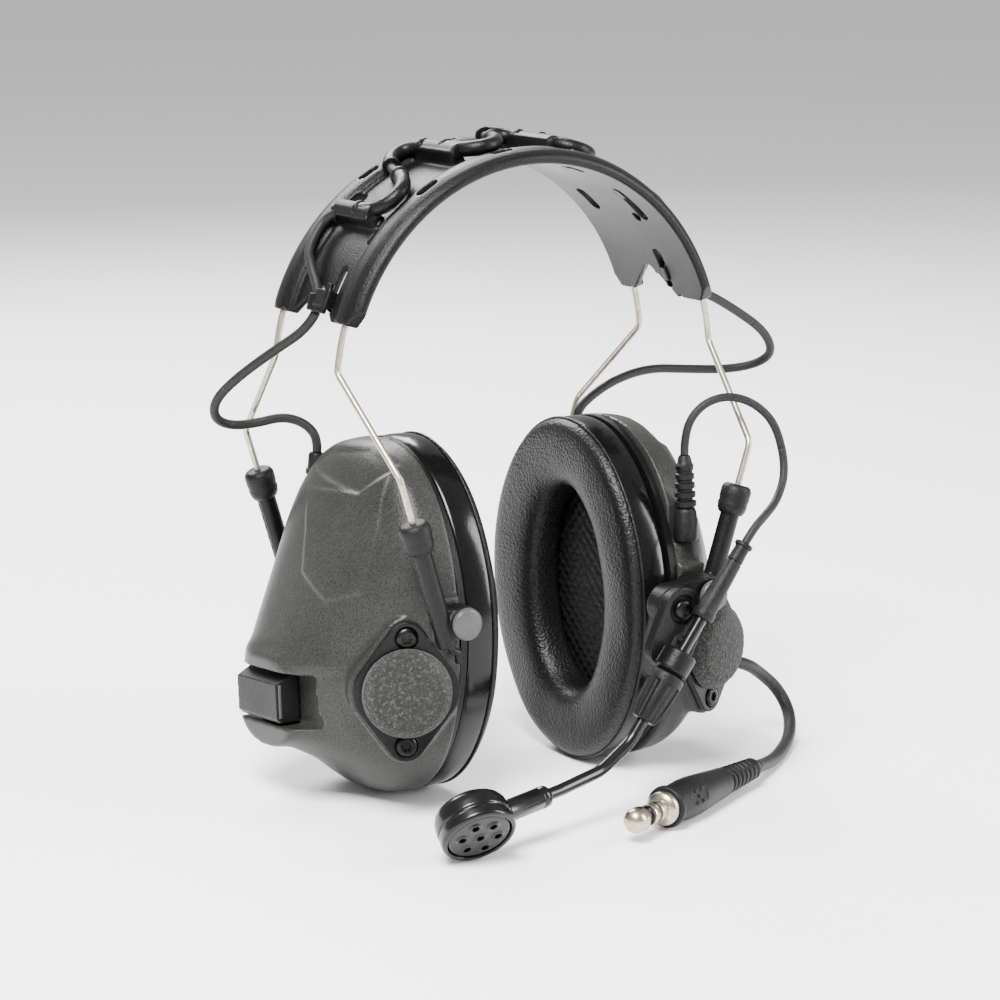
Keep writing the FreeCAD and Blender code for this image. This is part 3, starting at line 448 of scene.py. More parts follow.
def moulded(name, solids, cutters, voxel, smooth):
    """One moulded piece: solids joined, cutters taken out, then every edge softened."""
    mesh = applied(as_mesh(name, merged(*solids)), ("REMESH", {"mode": "VOXEL", "voxel_size": voxel}))
    if cutters:
        knife = linked("knife", as_mesh("knife", merged(*cutters)))
        mesh = applied(mesh, ("BOOLEAN", {"operation": "DIFFERENCE", "solver": "MANIFOLD", "object": knife}))
        bpy.data.objects.remove(knife)
    soften = ("SMOOTH", {"factor": 0.5, "iterations": smooth})
    return applied(mesh, ("REMESH", {"mode": "VOXEL", "voxel_size": voxel}), soften)


def piece(name, shape, finish, body, replaces=(), bevel=0.0, sharp=40, subdivide=0):
    """Puts a shape in the scene: its finish, the body it rides on and the nodes it stands for."""
    mesh = shape if isinstance(shape, bpy.types.Mesh) else as_mesh(name, shape)
    mesh.transform(Matrix.Scale(MM, 4))
    if subdivide:
        mesh = applied(mesh, ("SUBSURF", {"levels": subdivide, "render_levels": subdivide}))
    if bevel:
        edges = {"limit_method": "ANGLE", "angle_limit": radians(30)}
        mesh = applied(mesh, ("BEVEL", {"width": bevel * MM, "segments": 3, **edges}))
    mesh.polygons.foreach_set("use_smooth", [True] * len(mesh.polygons))
    if sharp:
        mesh.set_sharp_from_angle(angle=radians(sharp))
    mesh.name = name
    obj = linked(name, mesh)
    material, slot = FINISHES[finish]
    mesh.materials.clear()
    mesh.materials.append(material)
    if body is not None:
        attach(obj, body)
    if replaces:
        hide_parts(*replaces)
    return obj


# ---- places

CUP = Matrix.Translation((0, -1, 0)) @ Matrix.Rotation(radians(-5), 4, "X")
ARM_WAY = Vector((-sin(radians(17.5)), 0, -cos(radians(17.5))))
COLLAR_TOP = Vector((55.6, 0, 36.7))
ARM_OFFSET = 45.6
PIVOT = Vector((40, 0, 7))
PLATE_WAY = Vector((sin(radians(22)), -cos(radians(22)), 0))
PLATE_FACE = Vector((52.4, -36.6, -13.5))
ARCH = Vector((0, 0, 69.8))
BOOM_START = Vector((46.3, -62.0, 23.0))
BOOM_WAY = Vector((-0.590, 0, -0.808)).normalized()
BOOM_PIN = Vector((27.2, 0, 4.9))
BOOM_BEND = [BOOM_START + BOOM_WAY * 66.5]
BOOM_BEND += [Vector((-4.4, -64.0, -37.2)), Vector((-20.5, -68.0, -39.2)), Vector((-43.0, -74.0, -40.6))]
HEAD_WAY = Vector((-0.10, -0.80, -0.59)).normalized()
HEAD = Vector((-54.5, -76.6, -41.0))
PLUG_TIP = Vector((-9.3, -86.0, -45.9))
PLUG_WAY = Vector((65.7, 29.8, -1.2)).normalized()
RELIEF_FOOT, RELIEF_TOP = Vector((47.2, 26.0, 30.5)), Vector((46.1, 26.0, 44.2))
RELIEF_WAY = (RELIEF_TOP - RELIEF_FOOT).normalized()
BOOT_FOOT, BOOT_TOP = Vector((41.8, -39.2, 20.2)), Vector((41.2, -38.4, 45.6))
BOOT_WAY = (BOOT_TOP - BOOT_FOOT).normalized()
GLAND_FOOT, GLAND_END = Vector((63.0, -19.4, -23.0)), Vector((74.5, -18.0, -25.2))
GLAND_WAY = (GLAND_END - GLAND_FOOT).normalized()
BAND_INNER, WIRE_ARCH, CABLE_ARCH = 61.5, 64, 67.4
BAND_END, WIRE_LEAVES = 73, 81
WIRE_ASIDE = 18.1
LINK_RADIUS, LEAD_RADIUS, DOWNLEAD_RADIUS, TUBE_RADIUS = 1.4, 1.25, 1.95, 1.75
LOOP_STEP = 28  # degrees of the arch from one loop of the cable to the next


def mirror_x(point):
    return Vector((-point[0], point[1], point[2]))


def arch_point(turn, radius, along):
    """A point on the arch, turn degrees from the crown towards +X."""
    turn = radians(turn)
    return ARCH + Vector((radius * sin(turn), along, radius * cos(turn)))


def on_boom(step):
    return BOOM_START + BOOM_WAY * step


# ---- cords

RIGHT_LINK = [
    arch_point(-71.5, 62.6, 2.2), (-60.9, 4.2, 84.9), (-67.2, 13.4, 77.6), (-73.2, 24.4, 68.9),
    (-76.9, 31.4, 61.6), (-75.2, 35.4, 55.6), (-69.0, 37.6, 52.4), (-61.0, 36.4, 52.6),
    (-53.6, 33.0, 54.6), (-48.0, 29.4, 52.6), mirror_x(RELIEF_TOP + RELIEF_WAY * 4.2),
    mirror_x(RELIEF_TOP),
]
LEFT_LINK = [
    arch_point(68.5, 66.5, 2.4), (63.7, 2.7, 89.8), (77.5, 3.8, 86.9), (92.5, 6.8, 79.6),
    (106.4, 10.0, 71.6), (112.8, 13.8, 63.8), (111.4, 20.6, 59.2), (103.0, 26.0, 57.4),
    (90.0, 28.6, 58.2), (76.0, 29.4, 59.5), (63.0, 28.4, 57.4), (52.5, 27.4, 53.0),
    RELIEF_TOP + RELIEF_WAY * 4.2, RELIEF_TOP,
]
MIC_LEAD = [
    BOOT_TOP, (41.1, -38.4, 50.5), (42.8, -39.0, 56.8), (47.8, -40.2, 61.4), (55.0, -42.4, 62.8),
    (62.6, -44.8, 59.8), (68.4, -47.0, 53.2), (69.6, -50.4, 40.4), (63.5, -54.5, 32.8),
    (54.8, -60.4, 30.2), (49.24, -62.0, 27.04), on_boom(2.3),
]
DOWNLEAD = [
    PLUG_TIP + PLUG_WAY * 72, (67.0, -48.6, -49.6), (79.0, -39.2, -50.3), (92.0, -27.0, -49.6),
    (99.6, -16.6, -45.4), (99.0, -10.8, -39.0), (91.6, -11.6, -33.0), (82.4, -16.4, -27.6), GLAND_END,
]


def free_cord(name, points, radius):
    """A free cable from its exit, bending between two bodies."""
    line = nurbs_line(points)
    obj = piece(name, tube(line, radius), "jacket", None, [name], sharp=0)
    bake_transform(obj)


def split_cord(names, points, run, radius):
    """One cable as two pieces that meet half way along one run of its route."""
    points = [Vector(p) for p in points]
    middle = (points[run] + points[run + 1]) / 2
    free_cord(names[0], points[: run + 1] + [middle], radius)
    free_cord(names[1], [middle] + points[run + 1 :], radius)


RIGHT_NAMES, LEFT_NAMES = ("right_link_upper", "right_link_lower"), ("left_link_upper", "left_link_lower")
split_cord(RIGHT_NAMES, RIGHT_LINK, 3, LINK_RADIUS)
split_cord(LEFT_NAMES, LEFT_LINK, 3, LINK_RADIUS)
LEAD_NAMES = ("mic_lead_upper", "mic_lead_lower")
split_cord(LEAD_NAMES, MIC_LEAD, 6, LEAD_RADIUS)

# ---- ear cups

# distance from the head, sideways shift, upward shift, half width, half height
SHELL_SECTIONS = [(37.8, 0.0, 0.0, 41.2, 52.3), (47.3, 0.0, 0.0, 39.8, 51.3)]
SHELL_SECTIONS += [(53.3, 1.2, -2.6, 36.0, 44.3), (59.3, 2.5, -6.4, 30.0, 35.0)]
SHELL_SECTIONS += [(69.3, 7.0, -16.6, 21.5, 19.3), (75.2, 9.0, -24.2, 16.0, 11.3)]
SHELL_SECTIONS = np.array(SHELL_SECTIONS)


def shell_section(out):
    return [float(np.interp(out, SHELL_SECTIONS[:, 0], SHELL_SECTIONS[:, i])) for i in range(1, 5)]


def smooth_section(out):
    """The section's values averaged over a short reach, so the stations don't show."""
    low, high = SHELL_SECTIONS[0, 0], SHELL_SECTIONS[-1, 0]
    spread = [shell_section(min(max(out + step, low), high)) for step in (-3, -2, -1, 0, 1, 2, 3)]
    return [sum(values) / len(values) for values in zip(*spread)]


def shell_form():
    """The plain cup: rounded ovals stacked from the cushion ring out to the tip."""
    low, high = SHELL_SECTIONS[0, 0], SHELL_SECTIONS[-1, 0]
    levels, steps, power = 60, 120, 2.3
    points, rings = [], []
    for level in range(levels + 1):
        out = low + (high - low) * level / levels
        section = shell_section if level in (0, levels) else smooth_section
        aside, up, half_width, half_height = section(out)
        rings.append(range(len(points), len(points) + steps))
        for step in range(steps):
            turn = 2 * pi * step / steps
            c, s = cos(turn), sin(turn)
            y = half_width * copysign(abs(c) ** (2 / power), c)
            z = half_height * copysign(abs(s) ** (2 / power), s)
            points.append(Vector((out, aside + y, up + z)))
    return points, closed_skin(rings)


def diamond(extra=0.0):
    """The outline of the microphone plate, four round corners; extra widens it."""
    circles = [(0, 14.6, 5.7), (0, -14.6, 5.7), (5.2, 0, 10.1), (-5.2, 0, 10.1)]
    return hull([(x, y, radius + extra) for x, y, radius in circles])


def plate_frame():
    """The plate's frame: local Z is out of the plate, local Y is up."""
    across = Z.cross(PLATE_WAY)
    turn = Matrix((across, Z, PLATE_WAY)).transposed().to_4x4()
    return Matrix.Translation(PLATE_FACE) @ turn


# corners on the shell's outer face (towards the rear, up) of the raised shield and the facet above it
SHIELD = [(14, 38), (6, 26), (1, 15), (-13, 8), (-24, 11), (-25, 28), (-22, 44), (-14, 38)]
FACET = [(11, 42), (-14, 38), (-22, 44), (-21, 47), (-10, 50), (10, 49), (19, 44)]


def inside_by(polygon, y, z):
    """How far points are inside a polygon; negative outside."""
    inside, nearest = np.zeros(len(y), bool), np.full(len(y), 1e9)
    for (ay, az), (by, bz) in zip(polygon, polygon[1:] + polygon[:1]):
        span = (by - ay) ** 2 + (bz - az) ** 2
        share = np.clip(((y - ay) * (by - ay) + (z - az) * (bz - az)) / span, 0, 1)
        nearest = np.minimum(nearest, np.hypot(y - ay - share * (by - ay), z - az - share * (bz - az)))
        rise = (bz - az) or 1  # a level edge is never crossed
        inside ^= ((az > z) != (bz > z)) & (y < ay + (z - az) * (by - ay) / rise)
    return np.where(inside, nearest, -nearest)


def step_up(value, wide):
    """0 to 1 as the value goes from minus wide to plus wide."""
    share = np.clip(value / wide / 2 + 0.5, 0, 1)
    return share * share * (3 - 2 * share)


def shell_relief(x, y, z):
    """How far the moulded surface stands off the plain form at places in the cup's frame."""
    height = 0.36 * step_up(inside_by(SHIELD, y, z), 0.8)
    height -= 0.5 * step_up(inside_by(FACET, y, z), 1.1)
    # the lip over the door, and the swell in front of it
    lip = 0.75 * np.exp(-(((z + 9.6) / 2.6) ** 2)) * step_up(y + 20, 5) * step_up(x - 60, 3)
    swell = 0.6 * np.exp(-(((y + 18.5) / 2.6) ** 2)) * step_up(x - 58, 3)
    swell = swell * step_up(-12 - z, 4) * step_up(z + 30, 4)
    return (height + lip + swell) * step_up(x - 44, 1)


def cup_shell(left):
    solids = [moved(shell_form(), CUP)]
    solids.append(prism(diamond(0.9), -7.5, -0.1, plate_frame()))
    for near, far in ((-42.3, -34), (34, 42.3)):
        solids.append(box((38.2, near, PIVOT.z - 6.5), (PIVOT.x + 7, far, PIVOT.z + 6.5)))
    # the door's recess, the way of the cable's relief, and all that is inside of the cushion's ring
    cutters = [moved(box((67.6, -13.4, -28.7), (90, 40, -13.0)), CUP)]
    cutters.append(moved(box((43.6, 22.6, 33.0), (50, 30.4, 70)), CUP))
    cutters.append(box((20, -80, -80), (37.85, 80, 80)))
    if left:
        solids.append(rod(GLAND_FOOT - X * 2, GLAND_FOOT + GLAND_WAY * 4.6, 4.8))
        cutters.append(box((36, -60, 19.6), (47.4, -35.2, 60)))
    mesh = moulded("shell", solids, cutters, voxel=0.55, smooth=5)
    back = np.array(CUP.inverted())
    count = len(mesh.vertices)
    places, normals = np.empty(count * 3), np.empty(count * 3)
    mesh.vertices.foreach_get("co", places)
    mesh.vertices.foreach_get("normal", normals)
    places, normals = places.reshape(-1, 3), normals.reshape(-1, 3)
    height = shell_relief(*(places @ back[:3, :3].T + back[:3, 3]).T)
    places = places + normals * height[:, None]
    mesh.vertices.foreach_set("co", places.ravel())
    mesh = applied(mesh, ("SMOOTH", {"factor": 0.5, "iterations": 1}))
    for vertex in mesh.vertices:
        vertex.co.z = max(vertex.co.z, FLOOR)
    return mesh if left else mirrored(mesh)


def ear_cushion():
    """A crowned ring: glossy side, round shoulder, face and inner wall."""
    outer, inner = (40.1, 52.0), (18.4, 30.5)
    # share of the way from the outer edge to the opening, height above the back
    profile = [(0.03, 0.2), (0.0, 0.9), (-0.012, 3), (-0.014, 6), (0.0, 9.2), (0.025, 10.8), (0.07, 12.0)]
    profile += [(0.14, 12.7), (0.28, 13.0), (0.45, 13.0), (0.62, 12.85), (0.76, 12.3), (0.87, 11.2)]
    profile += [(0.945, 9.4), (0.98, 7.0), (0.995, 4.0), (1.0, 1.5), (0.99, 0.2)]
    steps, points, faces = 144, [], []
    for step in range(steps):
        turn = 2 * pi * step / steps
        a = Vector((outer[0] * cos(turn), outer[1] * sin(turn)))
        b = Vector((inner[0] * cos(turn), inner[1] * sin(turn)))
        for share, rise in profile:
            swell = noise.noise(Vector((cos(turn) * 2.2, sin(turn) * 2.2, share * 2))) * 0.35
            crease = noise.noise(Vector((turn * 9, share * 3, 5))) * 0.08
            crease *= sin(pi * min(max(share, 0), 1))
            spot = a.lerp(b, share)
            points.append(Vector((35.4 - rise - (swell + crease) * min(1, rise / 8), spot.x, spot.y)))
    count = len(profile)
    for step in range(steps):
        here, there = step * count, (step + 1) % steps * count
        for i in range(count):
            j = (i + 1) % count
            faces.append([here + i, there + i, there + j, here + j])
    return moved((points, faces), CUP)


def cushion_bead():
    """The welded seam where the cushion's side meets its face."""
    line = []
    for step in range(181):
        turn = 2 * pi * step / 180
        line.append(CUP @ Vector((25.9, 40.15 * cos(turn), 52.0 * sin(turn))))
    return tube(line, 0.42, 10)


def foam_liner():
    """The dimpled foam seen through the cushion's opening."""
    points, faces, count = [], [], 90
    for i in range(count):
        for j in range(count):
            y, z = (i / (count - 1) - 0.5) * 62, (j / (count - 1) - 0.5) * 84
            inside = (y / 31.6) ** 2 + (z / 42.6) ** 2
            dimple = 0.5 + 0.5 * sin(y * 1.5) * sin(z * 1.5)
            points.append(CUP @ Vector((36.4 - 1.5 * dimple * (inside < 1), y, z)))
    for i in range(count - 1):
        for j in range(count - 1):
            y, z = ((i + 0.5) / (count - 1) - 0.5) * 62, ((j + 0.5) / (count - 1) - 0.5) * 84
            if (y / 31.2) ** 2 + (z / 42.2) ** 2 < 1:
                a = i * count + j
                faces.append([a, a + 1, a + count + 1, a + count])
    return points, faces


def torx_screw(centre, way):
    head = [(2.9, 0), (2.9, 0.75), (2.45, 1.2), (1.75, 1.35), (1.5, 1.25), (1.45, 0.5), (0, 0.45)]
    ring = lathe([(0, 0)] + head, centre, way, 40)
    lobes = []
    turn = frame_at(centre + way * 0.5, way)
    for step in range(6):
        angle = radians(60 * step)
        spot = Vector((1.42 * cos(angle), 1.42 * sin(angle), 0))
        lobes.append(moved(rod(spot - Z * 0.1, spot + Z * 0.7, 0.34, segments=12), turn))
    return merged(ring, *lobes)


def microphone_disc():
    """The foam disc over the ambient microphone, slightly lumpy."""
    profile = [(0, 0), (12.4, 0), (12.9, 0.8), (12.75, 1.9), (12.2, 2.9), (11.2, 3.7)]
    profile += [(12.9 * cos(a), 3.2 + 2.4 * sin(a)) for a in np.linspace(0.62, 1.5, 8)] + [(0, 5.6)]
    points, faces = lathe(profile, PLATE_FACE + PLATE_WAY * 1.8, PLATE_WAY, 96)
    lumpy = [p + PLATE_WAY * noise.noise(p * 0.9) * 0.18 for p in points]
    return lumpy, faces


def both(name, shape, finish, side_body, stands_for=(), **options):
    """A piece on the left side and its mirror image on the right one."""
    for side, part in {"left": shape, "right": mirrored(shape)}.items():
        nodes = [f"{side}_{node}" for node in stands_for]
        piece(f"{side}_{name}", part, finish, f"{side}_{side_body}", nodes, **options)


piece("left_shell", cup_shell(True), "shell", "left_cup", ["left_base_shell"], sharp=0)
piece("right_shell", cup_shell(False), "shell", "right_cup", ["right_base_shell"], sharp=0)
both("cushion", ear_cushion(), "vinyl", "cup", ["ear_cushion"], sharp=0, subdivide=1)
for side in ("left", "right"):
    cushion = bpy.data.objects[f"{side}_cushion"]
    cushion.data.materials.append(FINISHES["gloss_vinyl"][0])
    for face in cushion.data.polygons:
        spot = CUP.inverted() @ (face.center / MM)
        beyond = hypot(spot.y / 38.6, spot.z / 50.6) > 1
        face.material_index = 1 if beyond and abs(spot.x) > 25.3 else 0
both("cushion_bead", cushion_bead(), "vinyl", "cup", sharp=0)
both("liner", foam_liner(), "lining", "cup", ["foam_liner"], sharp=0)
seats = [PLATE_FACE + PLATE_WAY * 1.2 + Z * height for height in (-15.6, 15.6)]
recesses = [rod(seat, seat + PLATE_WAY * 2.8, 3.3) for seat in seats]
plate = moulded("plate", [prism(diamond(), 0, 1.8, plate_frame())], recesses, 0.25, 3)
both("plate", plate, "plastic", "cup", ["mic_plate"], sharp=0)
both("screws", merged(*[torx_screw(seat, PLATE_WAY) for seat in seats]), "screw", "cup", ["plate_screws"])
both("windscreen", microphone_disc(), "foam", "cup", ["foam_windscreen"], sharp=0)

# ---- doors


def battery_door():
    """The soft block over the battery bay; the pale line on its leading edge is a painted highlight, drawn as
    a piece of its own.
    """
    profile = [(68.3, -15.3), (69.6, -13.9), (71.2, -13.9), (75.9, -16.4), (75.9, -26.6), (74.8, -27.9)]
    profile += [(68.3, -27.9)]
    return moulded("door", [moved(on_side(profile, -0.5, 23.5), CUP)], (), 0.3, 3)


both("door", battery_door(), "rubber", "door", ["battery_door"], sharp=0)
# painted highlight: a thin pale grey sliver on the door's leading face stands in for the line of light along
# that edge
both("painted_door_highlight", moved(box((74.3, -0.75, -26.4), (75.2, -0.4, -16.6)), CUP), "button", "door", bevel=0.15)

# ---- head band

# corners of the cable's winding way over the band: degrees from the crown, place along Y
BAND_WAY = [(-56.5, 12.8), (-44.8, 14.0)]
for loop in range(4):
    BAND_WAY += [(LOOP_STEP * loop - 43.2, -11.5), (LOOP_STEP * loop - 33.0, -12.0)]
    if loop < 3:
        BAND_WAY += [(LOOP_STEP * loop - 26.5, 14.5), (LOOP_STEP * loop - 16.0, 16.0)]
BAND_CABLE = [arch_point(-71.5, 62.6, 2.2), arch_point(-66.5, 63.2, 2.4), arch_point(-61.2, 66.2, 7.0)]
BAND_CABLE += [arch_point(turn, CABLE_ARCH, along) for turn, along in BAND_WAY]
BAND_CABLE += [arch_point(57.8, 67.3, 1.6), arch_point(63.6, 66.9, 2.5), arch_point(68.5, 66.5, 2.4)]
# (degrees from the crown, place along Y, length round the arch, width) on each side
BAND_SLOTS = [(64.5, -6.0, 14.0, 3.2), (39.5, -11.8, 16.0, 3.6), (40.5, 11.8, 10.0, 4.0)]
BAND_SLOTS += [(19.0, -11.0, 6.0, 3.0)]
# (degrees from the crown, front or rear) of the windows that show the wires
WIRE_WINDOWS = [(-32, -1), (-9, -1), (9, -1), (32, -1), (-30, 1), (-6, 1), (20, 1)]
ROUND = 64 * pi / 180  # millimetres of flat band for each degree of the arch


def bent(point):
    """From the flat band (round the arch, along Y, above the inner face) to the arch."""
    return arch_point(point.x / ROUND, BAND_INNER + point.z, point.y)


def flat_slot(turn, along, span, width, low=-3.0):
    """A slot with round ends in the flat band."""
    x, half = turn * ROUND, span / 2 - width / 2
    return prism(hull([(x - half, along, width / 2), (x + half, along, width / 2)], 40), low, 12.0)


def rail_profile(way):
    """The section of one padded rail: crowned on top, rounded at its outer edge."""
    section = [(12.6, 0.0), (23.4, 0.0), (24.1, 0.7), (24.2, 1.7), (23.6, 2.8), (22.0, 3.9), (19.6, 4.6)]
    section += [(17.0, 4.7), (14.9, 4.3), (13.4, 3.4), (12.8, 2.0)]
    return [(way * y, z) for y, z in (section if way > 0 else reversed(section))]


def along_band(section, reach):
    """A section (Y, height) pushed the whole length of the flat band."""
    turn = Matrix(((0, 0, 1, 0), (1, 0, 0, 0), (0, 1, 0, 0), (0, 0, 0, 1)))
    steps, points, rings = 60, [], []
    for step in range(steps + 1):
        rings.append(range(len(points), len(points) + len(section)))
        points += [turn @ Vector((y, z, reach * (2 * step / steps - 1))) for y, z in section]
    return points, closed_skin(rings)


def flat_tab(index):
    """The straight hooded channel that holds one crossing of the cable, with its skirt."""
    x = (LOOP_STEP * index - 44.0) * ROUND
    back = box((x - 2.2, -8.0, 0.6), (x + 1.8, 11.4, 5.4))
    hood = on_side(hull([(x - 0.2, 5.9, 2.15), (x + 0.2, 5.9, 2.15)], 40), -8.6, 12.0)
    skirt = box((x - 3.0, -9.0, 0.8), (x - 2.1, 12.6, 6.9))
    return merged(back, hood, skirt)


def head_band():
    reach = BAND_END * ROUND
    solids = [along_band([(-15, 0), (15, 0), (15, 2.1), (-15, 2.1)], reach)]
    solids += [along_band(rail_profile(way), reach) for way in (-1, 1)]
    solids += [flat_tab(index) for index in range(4)]
    cutters = []
    for side in (-1, 1):
        for turn, along, span, width in BAND_SLOTS:
            cutters.append(flat_slot(side * turn, along, span, width))
        tip, base = side * 64.4 * ROUND, side * 75 * ROUND
        cutters.append(prism([(tip, 1.2), (tip, 3.8), (base, 16.0), (base, -11.0)], -4, 12))
        for way, inner in ((-1, -10.4), (1, 15.0)):
            edge = side * 73.2 * ROUND
            past = edge + side * 2
            corner = [(past, way * 26), (past, way * 19.2), (edge - side * 7.5, way * 26)]
            lobe = [(past, inner), (past, inner + way * 3.4), (edge - side * 1.6, inner)]
            cutters += [prism(corner, -4, 12), prism(lobe, -4, 12)]
    for index in range(4):
        cutters.append(flat_slot(LOOP_STEP * index - 48.5, -10.6, 5.5, 3.0))
        cutters.append(flat_slot(LOOP_STEP * index - 38.0, -7.6, 3.4, 2.6))
    for turn, way in WIRE_WINDOWS:
        cutters.append(flat_slot(turn, way * WIRE_ASIDE, 7.0, 3.1, 1.6))
    mesh = moulded("band", solids, cutters, 0.42, 3)
    for vertex in mesh.vertices:
        vertex.co = bent(vertex.co)
    return mesh


piece("band", head_band(), "band", "headband", ["head_band"], sharp=0)

cable_line = nurbs_line(BAND_CABLE, 16)
piece("band_cable_run", tube(cable_line, LINK_RADIUS, 20), "jacket", "headband", ["band_cable"], sharp=0)


def cable_between(first, last):
    """The cable's line from near one control point to near another."""
    def nearest(point):
        return min(range(len(cable_line)), key=lambda i: (cable_line[i] - Vector(point)).length)

    return cable_line[nearest(first) : nearest(last) + 1]


def loop_sleeve(first, reach):
    """The thick sleeve over one loop, with a ring at each end."""
    before, one, two, after = [Vector(p) for p in BAND_CABLE[first - 1 : first + 3]]
    line = cable_between(one.lerp(before, reach), two.lerp(after, reach))
    ends = []
    for a, b in ((line[0], line[2]), (line[-1], line[-3])):
        way = (b - a).normalized()
        ends.append(lathe([(1.5, 0), (2.5, 0), (2.75, 0.4), (2.75, 1.5), (2.4, 1.9), (1.5, 1.9)], a, way, 32))
    return merged(tube(line, 2.3, 32), *ends)


hoods = [loop_sleeve(5 + 4 * loop, 0.42) for loop in range(4)]
hoods += [loop_sleeve(7 + 4 * loop, 0.24) for loop in range(3)]
piece("hoods", merged(*hoods), "plastic", "headband", ["cable_sleeves"], sharp=50)


def cable_clip(side):
    """The clip that holds the cable at one end, its arm and the hook bar in the slot."""
    start, end = (BAND_CABLE[0], BAND_CABLE[1]) if side == "right" else (BAND_CABLE[-1], BAND_CABLE[-2])
    way = (end - start).normalized()
    reach = (end - start).length
    turn = (-67.6 if side == "right" else 66.0) * ROUND
    flats = [box((turn - 2.4, -7.4, 2.3), (turn + 2.4, 1.2, 3.9))]
    flats.append(box((turn - 2.4, -7.4, -0.6), (turn + 2.4, -5.0, 4.4)))
    flats.append(rod((turn - 4.4, -6.1, 4.0), (turn + 4.4, -6.1, 4.0), 1.05))
    shaped = [([bent(p) for p in points], faces) for points, faces in flats]
    ring = rod(start + way * 0.3, start + way * (reach - 0.3), 2.9)
    bore = rod(start - way * 2, end + way * 2, 1.55)
    return moulded(f"clip_{side}", [ring, *shaped], [bore], 0.25, 3)


piece("clip_right", cable_clip("right"), "plastic", "headband", sharp=0)
piece("clip_left", cable_clip("left"), "plastic", "headband", ["cable_clips"], sharp=0)


def spring_wire(way):
    """One wire: straight in the arm, bent at the elbow, round the band's arch and down again."""
    centre = ARCH + Y * way * WIRE_ASIDE
    leave_turn = radians(WIRE_LEAVES)
    leave = centre + Vector((sin(leave_turn), 0, cos(leave_turn))) * WIRE_ARCH
    heading = Vector((cos(leave_turn), 0, -sin(leave_turn)))
    elbow = COLLAR_TOP - ARM_WAY * 13 + Y * way * ARM_OFFSET
    tip = elbow + ARM_WAY * 44
    leg = rounded_line([leave, leave + heading * 4.5, elbow, tip], [3.5, 4.5])
    turns = np.radians(np.linspace(-WIRE_LEAVES, WIRE_LEAVES, 120))
    arc = [centre + Vector((sin(a), 0, cos(a))) * WIRE_ARCH for a in turns]
    return tube([mirror_x(p) for p in reversed(leg)] + arc[1:-1] + leg, 0.95, 20)


piece("wires", merged(spring_wire(-1), spring_wire(1)), "steel", "headband", ["spring_wires"], sharp=60)

# ---- arms and buttons


def arm(way):
    top = COLLAR_TOP + Y * way * ARM_OFFSET
    eye = PIVOT + Y * way * 42.9
    low = top + ARM_WAY * 38
    solids = [rod(top + ARM_WAY * 4, low, 2.85)]
    solids.append(rod(eye, eye + Y * way * 5.5, 4.9, segments=48))
    spur = [low + Vector(step) for step in ((-1.6, 0, -1.6), (-3.4, 0, -2.2), (-4.0, 0, -5.4))]
    solids.append(tube([low - ARM_WAY * 3] + spur, 1.25, 16))
    web = Vector((PIVOT.x + 1.0, way * 45.6 - 1.8, PIVOT.z - 4.4))
    solids.append(box(web, web + Vector((5.0, 3.6, 8.6))))
    cutters = [rod(eye + Y * way * 4.7, eye + Y * way * 8, 3.9, segments=48)]
    for step in range(6):
        spot = top + ARM_WAY * (12 + 3.4 * step) + X * 2.95
        cutters.append(rod(spot - ARM_WAY * 1.0, spot + ARM_WAY * 1.0, 0.42, segments=10))
    return moulded("arm", solids, cutters, 0.26, 3)


COLLAR = [(1.05, 0), (3.2, 0), (4.0, 0.5), (4.5, 1.5), (4.5, 4.2), (4.25, 5.4), (4.45, 6.0), (4.2, 7.6)]
COLLAR += [(3.6, 8.8), (2.9, 9.1)]
for way, end in ((-1, "front"), (1, "rear")):
    stands = ["arms"] if way < 0 else []
    both(f"arm_{end}", arm(way), "plastic", "yoke", stands, sharp=0)
collars = [lathe(COLLAR, COLLAR_TOP + Y * way * ARM_OFFSET, ARM_WAY, 40) for way in (-1, 1)]
both("collars", merged(*collars), "rubber", "yoke", ["arm_collars"], sharp=50)


def button(way, reach):
    start = PIVOT + Y * way * (37.5 + 11.1 + reach)
    cap = [(0, -0.1), (4.2, -0.1), (4.6, 0.2), (4.6, 1.2), (4.3, 1.7), (3.6, 2.0), (0, 2.15)]
    return merged(lathe(cap, start, Y * way, 56), rod(PIVOT + Y * way * 37.5, start, 1.8))


right_pair = mirrored(merged(button(-1, 0), button(1, 0)))
piece("right_buttons", right_pair, "button", "right_cup", ["right_pivot_pins"], sharp=50)
left_pair = merged(button(-1, 6.6), button(1, 0))
piece("left_buttons", left_pair, "button", "left_cup", ["left_pivot_pins"], sharp=50)

# ---- boom holder, clamp and boom


def boom_bracket():
    bar = on_side(hull([(PIVOT.x, PIVOT.z, 5.6), (BOOM_PIN.x, BOOM_PIN.z, 6.2)]), -54.8, -49.1)
    ring_cut = lathe([(4.7, 0), (5.2, 0), (5.2, 2), (4.7, 2)], (BOOM_PIN.x, -53.9, BOOM_PIN.z), -Y, 48)
    return moulded("bracket", [bar], [ring_cut], 0.26, 3)


def boom_fork():
    """The curved loop from the pin down to the clamp ring round the boom."""
    loop = [(27.2, 4.9, 6.4), (20.0, -6.0, 4.2), (23.5, -11.5, 3.2)]
    ear = [(27.2, 4.9, 6.4), (31.0, -1.0, 3.4), (27.0, -10.0, 3.0)]
    solids = [on_side(hull(circles), -58.7, -55.2) for circles in (loop, ear)]
    ring = [(0, 36.6), (4.2, 36.6), (4.9, 37.3), (4.9, 42.9), (4.2, 43.6), (0, 43.6)]
    solids.append(lathe(ring, BOOM_START, BOOM_WAY, 56))
    window = on_side(hull([(25.9, -4.4, 1.9), (23.9, -7.2, 1.6)]), -60, -54)
    bore = rod(on_boom(20), on_boom(50), 1.95)
    rim = lathe([(3.4, 0), (4.2, 0), (4.2, 2), (3.4, 2)], (BOOM_PIN.x, -58.0, BOOM_PIN.z), -Y, 48)
    return moulded("fork", solids, [window, bore, rim], 0.24, 3)


